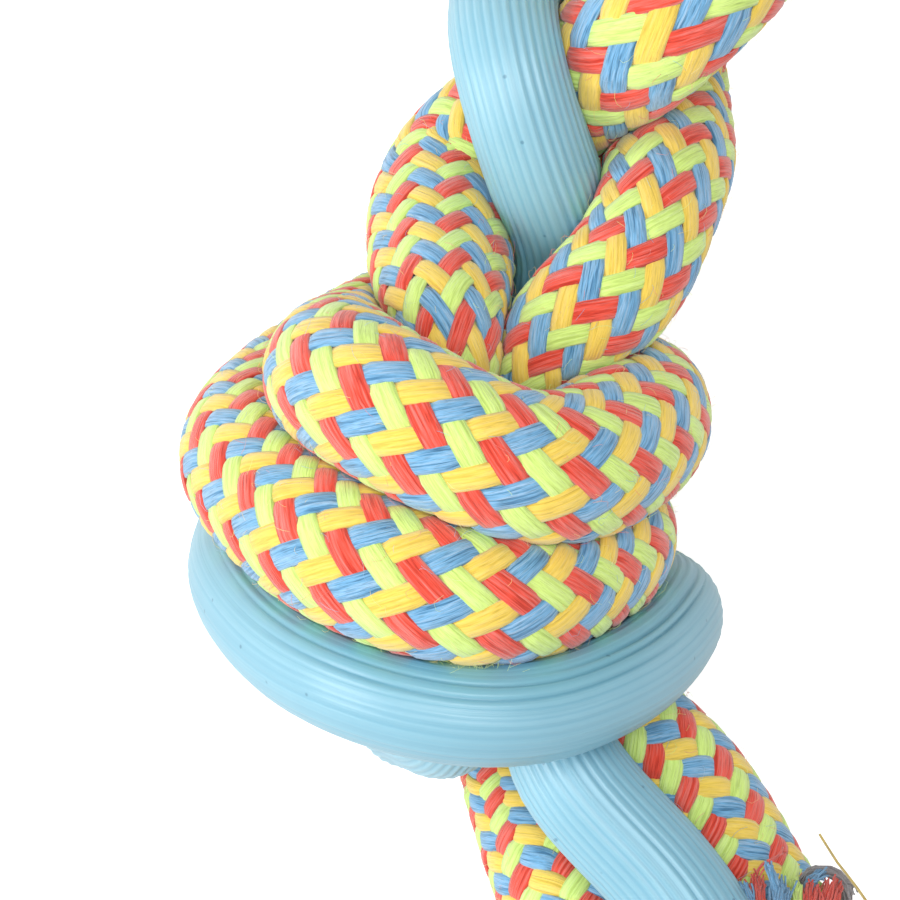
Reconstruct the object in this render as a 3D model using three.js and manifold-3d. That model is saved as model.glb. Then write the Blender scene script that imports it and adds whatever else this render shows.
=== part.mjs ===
// Rope dog toy: two braided ropes and a ribbed rubber tube, plaited together and knotted at both ends.
//
// The toy lies on the floor along X. Z is up, and the origin is on the floor under its middle.
// Each strand is one unbroken length: frayed end, knot, plait, second knot, frayed end.
// The half at -X is written out below. The other half is the same one turned half a turn about Y.

import * as THREE from 'three';
import { mergeVertices } from 'three/addons/utils/BufferGeometryUtils.js';
import Module from 'manifold-3d';

// Sizes, in millimetres.

const ropeRadius = 8.1;
const ropeSqueezedRadius = 4.3;
const ropeCoverWall = 2.6;
const tubeRadius = 6.6;
const tubeSqueezedRadius = 3.1;
const tubeWall = 2.3;
const strandGap = 0.6;
const coreClearance = 0.35;
const tasselGap = 0.35;

// The plait, a flat figure of eight that each strand follows a third of a turn behind the next.

const plaitPitch = 100;
const plaitHalfWidth = 7.5;
const plaitHalfDepth = 13;
const plaitLead = THREE.MathUtils.degToRad(128);
const plaitStart = -58;
const plaitSteps = 25;
const plaitSqueezeShare = 0.3;
const plaitHoldShare = 0.3;

// Each knot sits this far above the plait's middle line, on the side that its front faces. Less than
// zero is below it.

const knotRise = -0.7;

// The faces that the knots rest on are cut this deep into the lowest strand.

const restingFlatDepth = 1.6;

// Facets. The rings of a swept strand are this far apart, and its sections have these sides.
// A frayed end is as long as the rings that it takes at each end of a rope.

const ringStep = 7;
const tasselRings = 3;
const coverSides = 10;
const boreSides = 5;

// The route of each strand through the knot at -X, from the plait to the end, in millimetres.
// Each row is x, y, z, how far the strand is squeezed there and how firmly it keeps its place.
// A squeeze of 0 is the free strand, 1 is the strand in the heart of the knot, and a frayed end is under 0.

const upperRopeKnot = [
  [-74.5, 12, -10, 0.3, 0.6],
  [-84, 11.5, -3, 0.3, 1],
  [-91.5, 8.5, 8, 0.4, 1],
  [-97.5, 3.5, 14, 0.7, 0.5],
  [-105, -1, 10.5, 1, 0],
  [-112, -1.5, 6, 1, 0],
  [-116, 4, 0, 1, 0],
  [-119.5, 12, -6.5, 0.6, 0],
  [-116.5, 13, -16, 0.4, 0],
  [-111, 3.5, -22, 0.3, 0.3],
  [-107, -6.5, -19, 0.3, 0.3],
  [-105.5, -12, -7, 0.3, 0.5],
  [-103, -13.5, 7, 0.3, 1],
  [-106, -11.5, 20, 0.3, 1],
  [-106.8, -5.5, 28.5, 0.3, 1],
  [-104, 7.5, 29.5, 0.3, 1],
  [-101.5, 14.5, 22.5, 0.3, 1],
  [-100.3, 16, 9.5, 0.3, 1],
  [-97, 15, -4.5, 0.3, 0.5],
  [-92.5, 8, -12.5, 0.4, 0],
  [-92.5, -2, -11.5, 0.8, 0],
  [-99.5, -7, -4.5, 1, 0],
  [-108.5, -9, 1.5, 1, 0],
  [-119.5, -13, 5, 1, 0],
  [-126, -20, 2.5, 0.6, 0],
  [-130.5, -25, 1.5, 0.1, 1],
  [-137, -32.5, 0, 0, 1],
  [-142, -37.5, -0.5, 0, 1],
  [-147, -41.5, -0.5, 0, 1],
  [-154, -48, -0.5, -0.3, 1],
  [-161.5, -56, -1, -0.3, 1],
];

const lowerRopeKnot = [
  [-67, -9, 8, 0.5, 1],
  [-76, -11, 12, 0.55, 1],
  [-88.5, -9, 14, 0.4, 1],
  [-97.5, -5.5, 12, 0.8, 0.5],
  [-106, -5.5, 7, 1, 0],
  [-114.5, -5.5, 2.5, 1, 0],
  [-120, -1.5, -2, 1, 0],
  [-122, 4, -9, 0.6, 0.3],
  [-121, 7, -17, 0.4, 0.4],
  [-118, 1, -22, 0.3, 0.3],
  [-114.5, -7.5, -20, 0.3, 0.3],
  [-112, -12, -10, 0.3, 0.5],
  [-113.5, -14.5, 5, 0.3, 1],
  [-118, -13, 16, 0.3, 1],
  [-121.2, -7.5, 25, 0.3, 1],
  [-121.8, 6, 26, 0.3, 1],
  [-119, 17, 18, 0.3, 1],
  [-114.5, 23, 5, 0.3, 1],
  [-111.5, 20.5, -6.5, 0.3, 1],
  [-104, 10.5, -17, 0.3, 0.5],
  [-101, 3, -15, 0.8, 0],
  [-105.5, -3, -8, 1, 0],
  [-115, -3.5, -2, 1, 0],
  [-124, -7, -1, 1, 0],
  [-132.5, -12.5, -3, 0.7, 0],
  [-139.5, -19.5, -4.5, 0.2, 1],
  [-147, -22.5, -4, 0, 1],
  [-153.5, -26, -4, 0, 1],
  [-158.5, -29.5, -4, 0, 1],
  [-164.5, -35, -4.5, -0.3, 1],
  [-173.5, -40, -5, -0.3, 1],
];

const tubeKnot = [
  [-78, -3, -3, 0.1, 1],
  [-86.5, -3.5, -5, 0.3, 0.5],
  [-97, -3, -3.5, 0.9, 0],
  [-107, -2.5, -2, 1, 0],
  [-117, -5, 9, 1, 0],
  [-125, -11, 14, 1, 0],
  [-132, -11.5, 14, 0.8, 0.6],
  [-136, -9, 11, 0.4, 1],
  [-136, -4.5, 4, 0.3, 1],
  [-133, 1, -6.5, 0.2, 0.6],
  [-129.5, 3.5, -16.5, 0.2, 0.2],
  [-125.5, -3, -21, 0.1, 0],
  [-119.5, -11.5, -19, 0.1, 0],
  [-115, -15.5, -13, 0.1, 0.8],
  [-116, -19, -3, 0.1, 1],
  [-122, -18.5, 8, 0.1, 1],
  [-128, -15.5, 18, 0.1, 1],
  [-132, -11, 22, 0.1, 1],
  [-134.2, -4, 23.5, 0.1, 1],
  [-135, 6.4, 22, 0.1, 1],
  [-133.8, 14, 15, 0.1, 1],
  [-130, 20.5, 7, 0.1, 1],
  [-126, 22.5, -2, 0.1, 1],
  [-120.5, 17, -13, 0.1, 0.7],
  [-114, 10, -20, 0.2, 0],
  [-108, 2, -18.5, 0.5, 0],
  [-108, -6.5, -10, 0.9, 0],
  [-115, -12, 3, 1, 0],
  [-123.5, -17, 5, 0.9, 0],
  [-131, -20, 6.5, 0.5, 0.3],
  [-137, -23, 8, 0.1, 1],
  [-143.5, -30, 9, 0.1, 1],
  [-149, -36.5, 10, 0.1, 1],
  [-155.5, -43, 12, 0.1, 1],
];

// How the routes are eased apart, so that strands press on each other without running through each other.

const easing = {
  pointsPerRing: 2,
  rounds: 500,
  lastRounds: 150,
  firmHoldShare: 0.15,
  looseHoldShare: 0.004,
  depthHoldShare: 0.25,
  spreadShare: 0.22,
  lastSpreadShare: 0.066,
  bendKeptShare: 0.5,
  pairEvery: 15,
  pairReach: 5,
  neighbourTurns: 1.9,
};

function radiusAt(strand, squeeze) {
  const limited = Math.min(squeeze, 1);
  return strand.radius + (strand.squeezedRadius - strand.radius) * limited;
}

// The place of a strand in the plait, at a distance x from the toy's middle.

function plaitPlace(lead, x) {
  const angle = 2 * Math.PI * x / plaitPitch + lead;
  return new THREE.Vector3(x, -plaitHalfWidth * Math.cos(angle), -plaitHalfDepth * Math.sin(2 * angle));
}

// The guide points of half a strand, from its end at -X to the toy's middle.

function halfGuides(knotRows, lead) {
  const guides = knotRows.map(([x, y, z, squeeze, hold]) => (
    { place: new THREE.Vector3(x, y, z + knotRise), squeeze, hold }
  )).reverse();
  for (let step = 0; step <= plaitSteps; step++) {
    const x = plaitStart * (1 - step / plaitSteps);
    guides.push({ place: plaitPlace(lead, x), squeeze: plaitSqueezeShare, hold: plaitHoldShare });
  }
  return guides;
}

// The same half turned half a turn about Y, from the toy's middle to its end at +X.

function turnedGuides(guides) {
  return guides.map(({ place, squeeze, hold }) => (
    { place: new THREE.Vector3(-place.x, place.y, -place.z), squeeze, hold }
  )).reverse();
}

// A smooth curve through guide points, as points at a steady step with their squeeze and hold.

function smoothRoute(guides) {
  const curve = new THREE.CatmullRomCurve3(guides.map((guide) => guide.place), false, 'centripetal');
  const spans = guides.length - 1;
  const pointsPerSpan = 24;
  const fine = [];
  for (let count = 0; count <= spans * pointsPerSpan; count++) {
    const span = Math.min(Math.floor(count / pointsPerSpan), spans - 1);
    const along = count / pointsPerSpan - span;
    fine.push({
      place: curve.getPoint(count / (spans * pointsPerSpan)),
      squeeze: THREE.MathUtils.lerp(guides[span].squeeze, guides[span + 1].squeeze, along),
      hold: THREE.MathUtils.lerp(guides[span].hold, guides[span + 1].hold, along),
    });
  }
  return evenPoints(fine);
}

// Points along a polyline at an even spacing: those of the rings, and one halfway from ring to ring.

function evenPoints(points) {
  const reached = distancesAlong(points);
  const length = reached[reached.length - 1];
  const steps = easing.pointsPerRing * Math.round(length / ringStep);
  const even = [];
  let segment = 0;
  for (let step = 0; step <= steps; step++) {
    const target = length * step / steps;
    while (segment < points.length - 2 && reached[segment + 1] < target) {
      segment++;
    }
    const share = (target - reached[segment]) / (reached[segment + 1] - reached[segment]);
    const before = points[segment];
    const after = points[segment + 1];
    even.push({
      place: before.place.clone().lerp(after.place, share),
      squeeze: THREE.MathUtils.lerp(before.squeeze, after.squeeze, share),
      hold: THREE.MathUtils.lerp(before.hold, after.hold, share),
    });
  }
  return even;
}

// How far along a polyline each of its points lies.

function distancesAlong(points) {
  const reached = [0];
  for (let i = 1; i < points.length; i++) {
    reached.push(reached[i - 1] + points[i].place.distanceTo(points[i - 1].place));
  }
  return reached;
}

// Which points lie close enough to touch, apart from neighbours along one strand.

function nearPairs(points) {
  const pairs = [];
  for (let i = 0; i < points.length; i++) {
    for (let j = i + 1; j < points.length; j++) {
      const touching = points[i].radius + points[j].radius;
      const alongStrand = (j - i) * ringStep / easing.pointsPerRing;
      const neighbours = points[i].strand === points[j].strand
        && alongStrand < easing.neighbourTurns * touching;
      if (!neighbours && points[i].place.distanceTo(points[j].place) < touching + easing.pairReach) {
        pairs.push([points[i], points[j]]);
      }
    }
  }
  return pairs;
}

// Pushes the two points of each pair apart until their strands only touch.

function pushApart(points, pairs) {
  const way = new THREE.Vector3();
  for (const point of points) {
    point.push.set(0, 0, 0);
    point.contacts = 0;
  }
  for (const [one, other] of pairs) {
    way.subVectors(one.place, other.place);
    const distance = way.length();
    const overlap = one.radius + other.radius + strandGap - distance;
    if (overlap > 0) {
      way.multiplyScalar(overlap / (2 * distance));
      one.push.add(way);
      other.push.sub(way);
      one.contacts++;
      other.contacts++;
    }
  }
  const strongestShare = 1.8;
  const strengthPerContactShare = 0.2;
  for (const point of points) {
    if (point.contacts > 0) {
      const strength = Math.min(strongestShare, 1 + strengthPerContactShare * point.contacts);
      point.place.addScaledVector(point.push, strength / point.contacts);
    }
  }
}

// Draws each point back toward its guide, less firmly in depth and more weakly as the rounds go by.

function holdToGuides(points, strength) {
  for (const point of points) {
    const looseness = easing.firmHoldShare - easing.looseHoldShare;
    const hold = (easing.looseHoldShare + looseness * point.hold) * strength;
    point.place.x += (point.guide.x - point.place.x) * hold;
    point.place.y += (point.guide.y - point.place.y) * hold;
    point.place.z += (point.guide.z - point.place.z) * hold * easing.depthHoldShare;
  }
}

// Spreads each point's shift over its neighbours, so that the strands keep their bends.

function spreadShifts(points, share) {
  for (const point of points) {
    point.shift.copy(point.place).addScaledVector(point.guide, -easing.bendKeptShare);
  }
  for (let i = 1; i < points.length - 1; i++) {
    const [before, point, after] = [points[i - 1], points[i], points[i + 1]];
    if (before.strand === point.strand && point.strand === after.strand) {
      point.push.addVectors(before.shift, after.shift).multiplyScalar(0.5).sub(point.shift);
      point.place.addScaledVector(point.push, share);
    }
  }
}

// Keeps a strand straight from ring to ring, as its facets are: what moved a point between two rings
// moves the rings.

function straighten(strand) {
  const { points } = strand;
  const middle = new THREE.Vector3();
  for (let i = 1; i < points.length; i += easing.pointsPerRing) {
    middle.addVectors(points[i - 1].place, points[i + 1].place).multiplyScalar(0.5);
    const shift = points[i].place.clone().sub(middle).multiplyScalar(0.5);
    points[i - 1].place.add(shift);
    points[i + 1].place.add(shift);
  }
  for (let i = 1; i < points.length; i += easing.pointsPerRing) {
    points[i].place.addVectors(points[i - 1].place, points[i + 1].place).multiplyScalar(0.5);
  }
}

// Eases all the strands apart together, and leaves their points in place.

function easeApart(strands) {
  const points = strands.flatMap((strand) => strand.points.map((point) => Object.assign(point, {
    strand,
    radius: radiusAt(strand, point.squeeze),
    guide: point.place.clone(),
    push: new THREE.Vector3(),
    shift: new THREE.Vector3(),
    contacts: 0,
  })));
  let pairs = [];
  for (let round = 0; round < easing.rounds + easing.lastRounds; round++) {
    const lateShare = Math.max(round - easing.rounds, 0) / easing.lastRounds;
    const late = lateShare > 0;
    if (round % easing.pairEvery === 0) {
      pairs = nearPairs(points);
    }
    pushApart(points, pairs);
    if (!late) {
      const weakestShare = 0.1;
      holdToGuides(points, 1 - (1 - weakestShare) * round / easing.rounds);
    }
    spreadShifts(points, late ? easing.lastSpreadShare * (1 - lateShare) : easing.spreadShare);
    strands.forEach(straighten);
  }
}

// Section frames at all the rings of a strand: each one's middle, directions and radius.

function sectionFrames(strand) {
  const rings = strand.points.filter((point, i) => i % easing.pointsPerRing === 0);
  const side = new THREE.Vector3(0, 0, 1);
  return rings.map((point, i) => {
    const behind = rings[Math.max(i - 1, 0)].place;
    const ahead = rings[Math.min(i + 1, rings.length - 1)].place;
    const along = new THREE.Vector3().subVectors(ahead, behind).normalize();
    side.addScaledVector(along, -side.dot(along)).normalize();
    const across = new THREE.Vector3().crossVectors(along, side);
    return { middle: point.place, along, side: side.clone(), across, radius: radiusAt(strand, point.squeeze) };
  });
}

// The points of one ring round a section frame.

function ring(frame, radius, sides) {
  const corners = [];
  for (let corner = 0; corner < sides; corner++) {
    const angle = 2 * Math.PI * corner / sides;
    corners.push(frame.middle.clone()
      .addScaledVector(frame.side, radius * Math.cos(angle))
      .addScaledVector(frame.across, radius * Math.sin(angle)));
  }
  return corners;
}

// A geometry from corner points and faces given as lists of corners, with the corners shared.

function closedGeometry(corners, faces) {
  const geometry = new THREE.BufferGeometry();
  geometry.setAttribute('position', new THREE.Float32BufferAttribute(corners.flatMap((corner) => [...corner]), 3));
  geometry.setIndex(faces.flat());
  return geometry;
}

// The faces between two rings of equal sides. Outward faces look away from the strand's middle.

function band(first, second, sides, outward) {
  const faces = [];
  for (let corner = 0; corner < sides; corner++) {
    const next = (corner + 1) % sides;
    const [a, b, c, d] = [first + corner, first + next, second + next, second + corner];
    faces.push(outward ? [a, b, c] : [a, c, b], outward ? [a, c, d] : [a, d, c]);
  }
  return faces;
}

// A solid strand: rings joined along the route, with a fan of faces over each end.

function solidStrand(frames, radii, sides) {
  const corners = frames.flatMap((frame, i) => ring(frame, radii[i], sides));
  const faces = [];
  for (let i = 0; i < frames.length - 1; i++) {
    faces.push(...band(i * sides, (i + 1) * sides, sides, true));
  }
  const last = (frames.length - 1) * sides;
  for (let corner = 1; corner < sides - 1; corner++) {
    faces.push([0, corner + 1, corner], [last, last + corner, last + corner + 1]);
  }
  return closedGeometry(corners, faces);
}

// A hollow strand: an outer skin, a bore along it, and a flat ring of faces between them at each end.

function hollowStrand(frames, outerRadii, boreRadii) {
  const outer = frames.flatMap((frame, i) => ring(frame, outerRadii[i], coverSides));
  const bore = frames.flatMap((frame, i) => ring(frame, boreRadii[i], boreSides));
  const boreStart = outer.length;
  const faces = [];
  for (let i = 0; i < frames.length - 1; i++) {
    faces.push(...band(i * coverSides, (i + 1) * coverSides, coverSides, true));
    faces.push(...band(boreStart + i * boreSides, boreStart + (i + 1) * boreSides, boreSides, false));
  }
  const lastOuter = (frames.length - 1) * coverSides;
  const lastBore = boreStart + (frames.length - 1) * boreSides;
  faces.push(...endRing(0, boreStart, false), ...endRing(lastOuter, lastBore, true));
  return closedGeometry([...outer, ...bore], faces);
}

// The flat end of a hollow strand, between its outer corners and its bore corners.

function endRing(outerStart, boreStart, facesOn) {
  const faces = [];
  const outerPerBore = coverSides / boreSides;
  for (let corner = 0; corner < boreSides; corner++) {
    const nextBore = boreStart + (corner + 1) % boreSides;
    const hub = boreStart + corner;
    for (let step = 0; step < outerPerBore; step++) {
      const outer = outerStart + corner * outerPerBore + step;
      const nextOuter = outerStart + (corner * outerPerBore + step + 1) % coverSides;
      faces.push(facesOn ? [hub, outer, nextOuter] : [hub, nextOuter, outer]);
    }
    const shared = outerStart + ((corner + 1) * outerPerBore) % coverSides;
    faces.push(facesOn ? [hub, shared, nextBore] : [hub, nextBore, shared]);
  }
  return faces;
}

// A frayed end: the yarns spread from the cover's end and draw in again at their tips.

function tasselGeometry(frames) {
  const spreadShares = [0.95, 1.05, 1.05, 0.75];
  const radii = frames.map((frame, i) => frame.radius * spreadShares[i]);
  return solidStrand(frames, radii, coverSides);
}

// Solids for cutting, and back to geometries.

const wasm = await Module();
wasm.setup();

function toSolid(geometry) {
  const bare = geometry.clone();
  bare.deleteAttribute('normal');
  bare.deleteAttribute('uv');
  const merged = mergeVertices(bare);
  return new wasm.Manifold(new wasm.Mesh({
    numProp: 3,
    vertProperties: new Float32Array(merged.attributes.position.array),
    triVerts: new Uint32Array(merged.index.array),
  }));
}

function toGeometry(solid) {
  const mesh = solid.getMesh();
  const geometry = new THREE.BufferGeometry();
  geometry.setAttribute('position', new THREE.BufferAttribute(new Float32Array(mesh.vertProperties), 3));
  geometry.setIndex(new THREE.BufferAttribute(new Uint32Array(mesh.triVerts), 1));
  return geometry;
}

// Cuts away whatever lies under a level.

function cutFlat(geometry, level) {
  geometry.computeBoundingBox();
  const { min, max } = geometry.boundingBox;
  if (min.z >= level) {
    return geometry;
  }
  const overrun = 2 * ropeRadius;
  const size = new THREE.Vector3().subVectors(max, min).addScalar(2 * overrun);
  const block = new THREE.BoxGeometry(size.x, size.y, size.z);
  block.translate((min.x + max.x) / 2, (min.y + max.y) / 2, level - size.z / 2);
  return toGeometry(toSolid(geometry).subtract(toSolid(block)));
}

// The least gap from a strand's surface to another part of itself, measured on its points.

function leastOwnGap(strand, points) {
  let least = Infinity;
  for (let i = 0; i < points.length; i++) {
    for (let j = i + 1; j < points.length; j++) {
      const touching = radiusAt(strand, points[i].squeeze) + radiusAt(strand, points[j].squeeze);
      const alongStrand = (j - i) * ringStep / easing.pointsPerRing;
      if (alongStrand >= easing.neighbourTurns * touching) {
        least = Math.min(least, points[i].place.distanceTo(points[j].place) - touching);
      }
    }
  }
  return least;
}

// The three strands on their routes. A rope is over at one knot and under at the other.

const ropeSizes = { radius: ropeRadius, squeezedRadius: ropeSqueezedRadius };
const tubeSizes = { radius: tubeRadius, squeezedRadius: tubeSqueezedRadius };

const upperHalf = halfGuides(upperRopeKnot, plaitLead);
const lowerHalf = halfGuides(lowerRopeKnot, -plaitLead);
const tubeHalf = halfGuides(tubeKnot, 0);

function wholeStrand(name, sizes, firstHalf, secondHalf) {
  const guides = [...firstHalf, ...turnedGuides(secondHalf).slice(1)];
  return { name, ...sizes, points: smoothRoute(guides) };
}

const ropeA = wholeStrand('a', ropeSizes, upperHalf, lowerHalf);
const ropeB = wholeStrand('b', ropeSizes, lowerHalf, upperHalf);
const tube = wholeStrand('tube', tubeSizes, tubeHalf, tubeHalf);
const strands = [ropeA, ropeB, tube];

easeApart(strands);

for (const strand of strands) {
  console.log(`strand ${strand.name}: least gap to itself ${leastOwnGap(strand, strand.points).toFixed(2)} mm`);
}

// The level of the floor: both knots reach below it by about the depth of the resting flat.

function lowestPoint(strand, side) {
  const reach = strand.points
    .filter((point) => Math.sign(point.place.x) === side)
    .map((point) => point.place.z - radiusAt(strand, point.squeeze));
  return Math.min(...reach);
}

const lowestByKnot = [-1, 1].map((side) => Math.min(...strands.map((strand) => lowestPoint(strand, side))));
const floorLevel = Math.max(...lowestByKnot) + restingFlatDepth;

// Materials, with the colours of the yarns mixed where a solid stands for all of them.

const coverMaterialA = new THREE.MeshStandardMaterial({ color: 0xd9c24a, roughness: 0.9, metalness: 0 });
const coverMaterialB = new THREE.MeshStandardMaterial({ color: 0xcf6a4e, roughness: 0.9, metalness: 0 });
const coreMaterial = new THREE.MeshStandardMaterial({ color: 0x77777c, roughness: 1, metalness: 0 });
const tubeMaterial = new THREE.MeshStandardMaterial({ color: 0x8fc7dc, roughness: 0.55, metalness: 0 });

const toy = new THREE.Group();

function addPiece(name, geometry, material) {
  const flat = cutFlat(geometry, floorLevel);
  flat.computeVertexNormals();
  const mesh = new THREE.Mesh(flat, material);
  mesh.name = name;
  toy.add(mesh);
}

// A frame moved along its strand.

function movedFrame(frame, distance) {
  return { ...frame, middle: frame.middle.clone().addScaledVector(frame.along, distance) };
}

// A rope: its braided cover, the core inside it and a frayed end past each end of the cover.

function addRope(rope, coverMaterial) {
  const frames = sectionFrames(rope);
  const lastRing = frames.length - 1;
  const covered = frames.slice(tasselRings, lastRing - tasselRings + 1);
  const outerRadii = covered.map((frame) => frame.radius);
  const boreRadii = outerRadii.map((radius) => radius * (ropeRadius - ropeCoverWall) / ropeRadius);
  const cornerClearance = coreClearance / Math.cos(Math.PI / boreSides);
  const coreRadii = boreRadii.map((radius) => radius - cornerClearance);
  addPiece(`rope_cover_${rope.name}`, hollowStrand(covered, outerRadii, boreRadii), coverMaterial);
  addPiece(`rope_core_${rope.name}`, solidStrand(covered, coreRadii, boreSides), coreMaterial);
  const firstFrayed = frames.slice(0, tasselRings + 1).reverse().map((frame) => flippedFrame(frame));
  const secondFrayed = frames.slice(lastRing - tasselRings);
  [firstFrayed, secondFrayed].forEach((frayed, end) => {
    const clear = [movedFrame(frayed[0], tasselGap), ...frayed.slice(1)];
    addPiece(`tassel_${rope.name}_${end + 1}`, tasselGeometry(clear), coverMaterial);
  });
}

// The same frame facing the other way along its strand.

function flippedFrame(frame) {
  return { ...frame, along: frame.along.clone().negate(), across: frame.across.clone().negate() };
}

addRope(ropeA, coverMaterialA);
addRope(ropeB, coverMaterialB);

// The rubber tube, hollow from end to end.

const tubeFrames = sectionFrames(tube);
const tubeOuterRadii = tubeFrames.map((frame) => frame.radius);
const tubeBoreRadii = tubeOuterRadii.map((radius) => radius * (tubeRadius - tubeWall) / tubeRadius);
addPiece('chew_tube', hollowStrand(tubeFrames, tubeOuterRadii, tubeBoreRadii), tubeMaterial);

// The whole toy moves so that the origin is on the floor under the middle of its bounding box.

const toyMiddle = new THREE.Box3().setFromObject(toy).getCenter(new THREE.Vector3());
toy.position.set(-toyMiddle.x, -toyMiddle.y, -floorLevel);
console.log(`the toy is moved by ${toy.position.toArray().map((shift) => shift.toFixed(2)).join(', ')} mm`);

export default toy;
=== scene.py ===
"""Rope dog toy: two braided ropes and a ribbed rubber tube, plaited and knotted, seen from above."""

import math

import bpy
import numpy as np
from mathutils import Matrix, Vector


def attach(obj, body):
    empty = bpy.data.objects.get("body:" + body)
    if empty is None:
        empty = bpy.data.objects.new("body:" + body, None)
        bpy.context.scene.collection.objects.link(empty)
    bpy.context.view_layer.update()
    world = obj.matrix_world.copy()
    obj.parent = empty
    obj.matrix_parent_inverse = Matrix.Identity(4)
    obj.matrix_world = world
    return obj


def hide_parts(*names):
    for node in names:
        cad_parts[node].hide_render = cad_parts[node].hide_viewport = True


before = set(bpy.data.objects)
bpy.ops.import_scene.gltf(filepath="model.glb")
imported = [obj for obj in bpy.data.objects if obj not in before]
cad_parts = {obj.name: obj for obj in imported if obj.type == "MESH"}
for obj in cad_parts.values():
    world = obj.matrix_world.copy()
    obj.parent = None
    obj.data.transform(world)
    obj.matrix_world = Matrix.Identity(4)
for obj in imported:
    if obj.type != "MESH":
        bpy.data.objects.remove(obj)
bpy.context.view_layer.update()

# Lengths are in millimetres until a mesh is made.
MM = 0.001

# The strands, as the CAD has them.
ROPE_RADIUS = 8.1
ROPE_SQUEEZED_RADIUS = 4.3
TUBE_RADIUS = 6.6
TUBE_SQUEEZED_RADIUS = 3.1
STRAND_GAP = 0.6
RING_STEP = 7

# The plait between the knots.
PLAIT_PITCH = 100
PLAIT_HALF_WIDTH = 7.5
PLAIT_HALF_DEPTH = 13
PLAIT_LEAD = math.radians(128)
PLAIT_START = -58
PLAIT_STEPS = 25
PLAIT_SQUEEZE_SHARE = 0.3
PLAIT_HOLD_SHARE = 0.3
KNOT_RISE = -0.7

# How far the CAD moves the toy to put its origin on the floor under its middle.
TOY_SHIFT = (-0.02, 13.97, 37.14)

# The routes through the knot at -X: x, y, z, how squeezed the strand is, how firmly it keeps its place.
UPPER_ROPE_KNOT = (
    (-74.5, 12, -10, 0.3, 0.6),
    (-84, 11.5, -3, 0.3, 1),
    (-91.5, 8.5, 8, 0.4, 1),
    (-97.5, 3.5, 14, 0.7, 0.5),
    (-105, -1, 10.5, 1, 0),
    (-112, -1.5, 6, 1, 0),
    (-116, 4, 0, 1, 0),
    (-119.5, 12, -6.5, 0.6, 0),
    (-116.5, 13, -16, 0.4, 0),
    (-111, 3.5, -22, 0.3, 0.3),
    (-107, -6.5, -19, 0.3, 0.3),
    (-105.5, -12, -7, 0.3, 0.5),
    (-103, -13.5, 7, 0.3, 1),
    (-106, -11.5, 20, 0.3, 1),
    (-106.8, -5.5, 28.5, 0.3, 1),
    (-104, 7.5, 29.5, 0.3, 1),
    (-101.5, 14.5, 22.5, 0.3, 1),
    (-100.3, 16, 9.5, 0.3, 1),
    (-97, 15, -4.5, 0.3, 0.5),
    (-92.5, 8, -12.5, 0.4, 0),
    (-92.5, -2, -11.5, 0.8, 0),
    (-99.5, -7, -4.5, 1, 0),
    (-108.5, -9, 1.5, 1, 0),
    (-119.5, -13, 5, 1, 0),
    (-126, -20, 2.5, 0.6, 0),
    (-130.5, -25, 1.5, 0.1, 1),
    (-137, -32.5, 0, 0, 1),
    (-142, -37.5, -0.5, 0, 1),
    (-147, -41.5, -0.5, 0, 1),
    (-154, -48, -0.5, -0.3, 1),
    (-161.5, -56, -1, -0.3, 1),
)
LOWER_ROPE_KNOT = (
    (-67, -9, 8, 0.5, 1),
    (-76, -11, 12, 0.55, 1),
    (-88.5, -9, 14, 0.4, 1),
    (-97.5, -5.5, 12, 0.8, 0.5),
    (-106, -5.5, 7, 1, 0),
    (-114.5, -5.5, 2.5, 1, 0),
    (-120, -1.5, -2, 1, 0),
    (-122, 4, -9, 0.6, 0.3),
    (-121, 7, -17, 0.4, 0.4),
    (-118, 1, -22, 0.3, 0.3),
    (-114.5, -7.5, -20, 0.3, 0.3),
    (-112, -12, -10, 0.3, 0.5),
    (-113.5, -14.5, 5, 0.3, 1),
    (-118, -13, 16, 0.3, 1),
    (-121.2, -7.5, 25, 0.3, 1),
    (-121.8, 6, 26, 0.3, 1),
    (-119, 17, 18, 0.3, 1),
    (-114.5, 23, 5, 0.3, 1),
    (-111.5, 20.5, -6.5, 0.3, 1),
    (-104, 10.5, -17, 0.3, 0.5),
    (-101, 3, -15, 0.8, 0),
    (-105.5, -3, -8, 1, 0),
    (-115, -3.5, -2, 1, 0),
    (-124, -7, -1, 1, 0),
    (-132.5, -12.5, -3, 0.7, 0),
    (-139.5, -19.5, -4.5, 0.2, 1),
    (-147, -22.5, -4, 0, 1),
    (-153.5, -26, -4, 0, 1),
    (-158.5, -29.5, -4, 0, 1),
    (-164.5, -35, -4.5, -0.3, 1),
    (-173.5, -40, -5, -0.3, 1),
)
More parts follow.
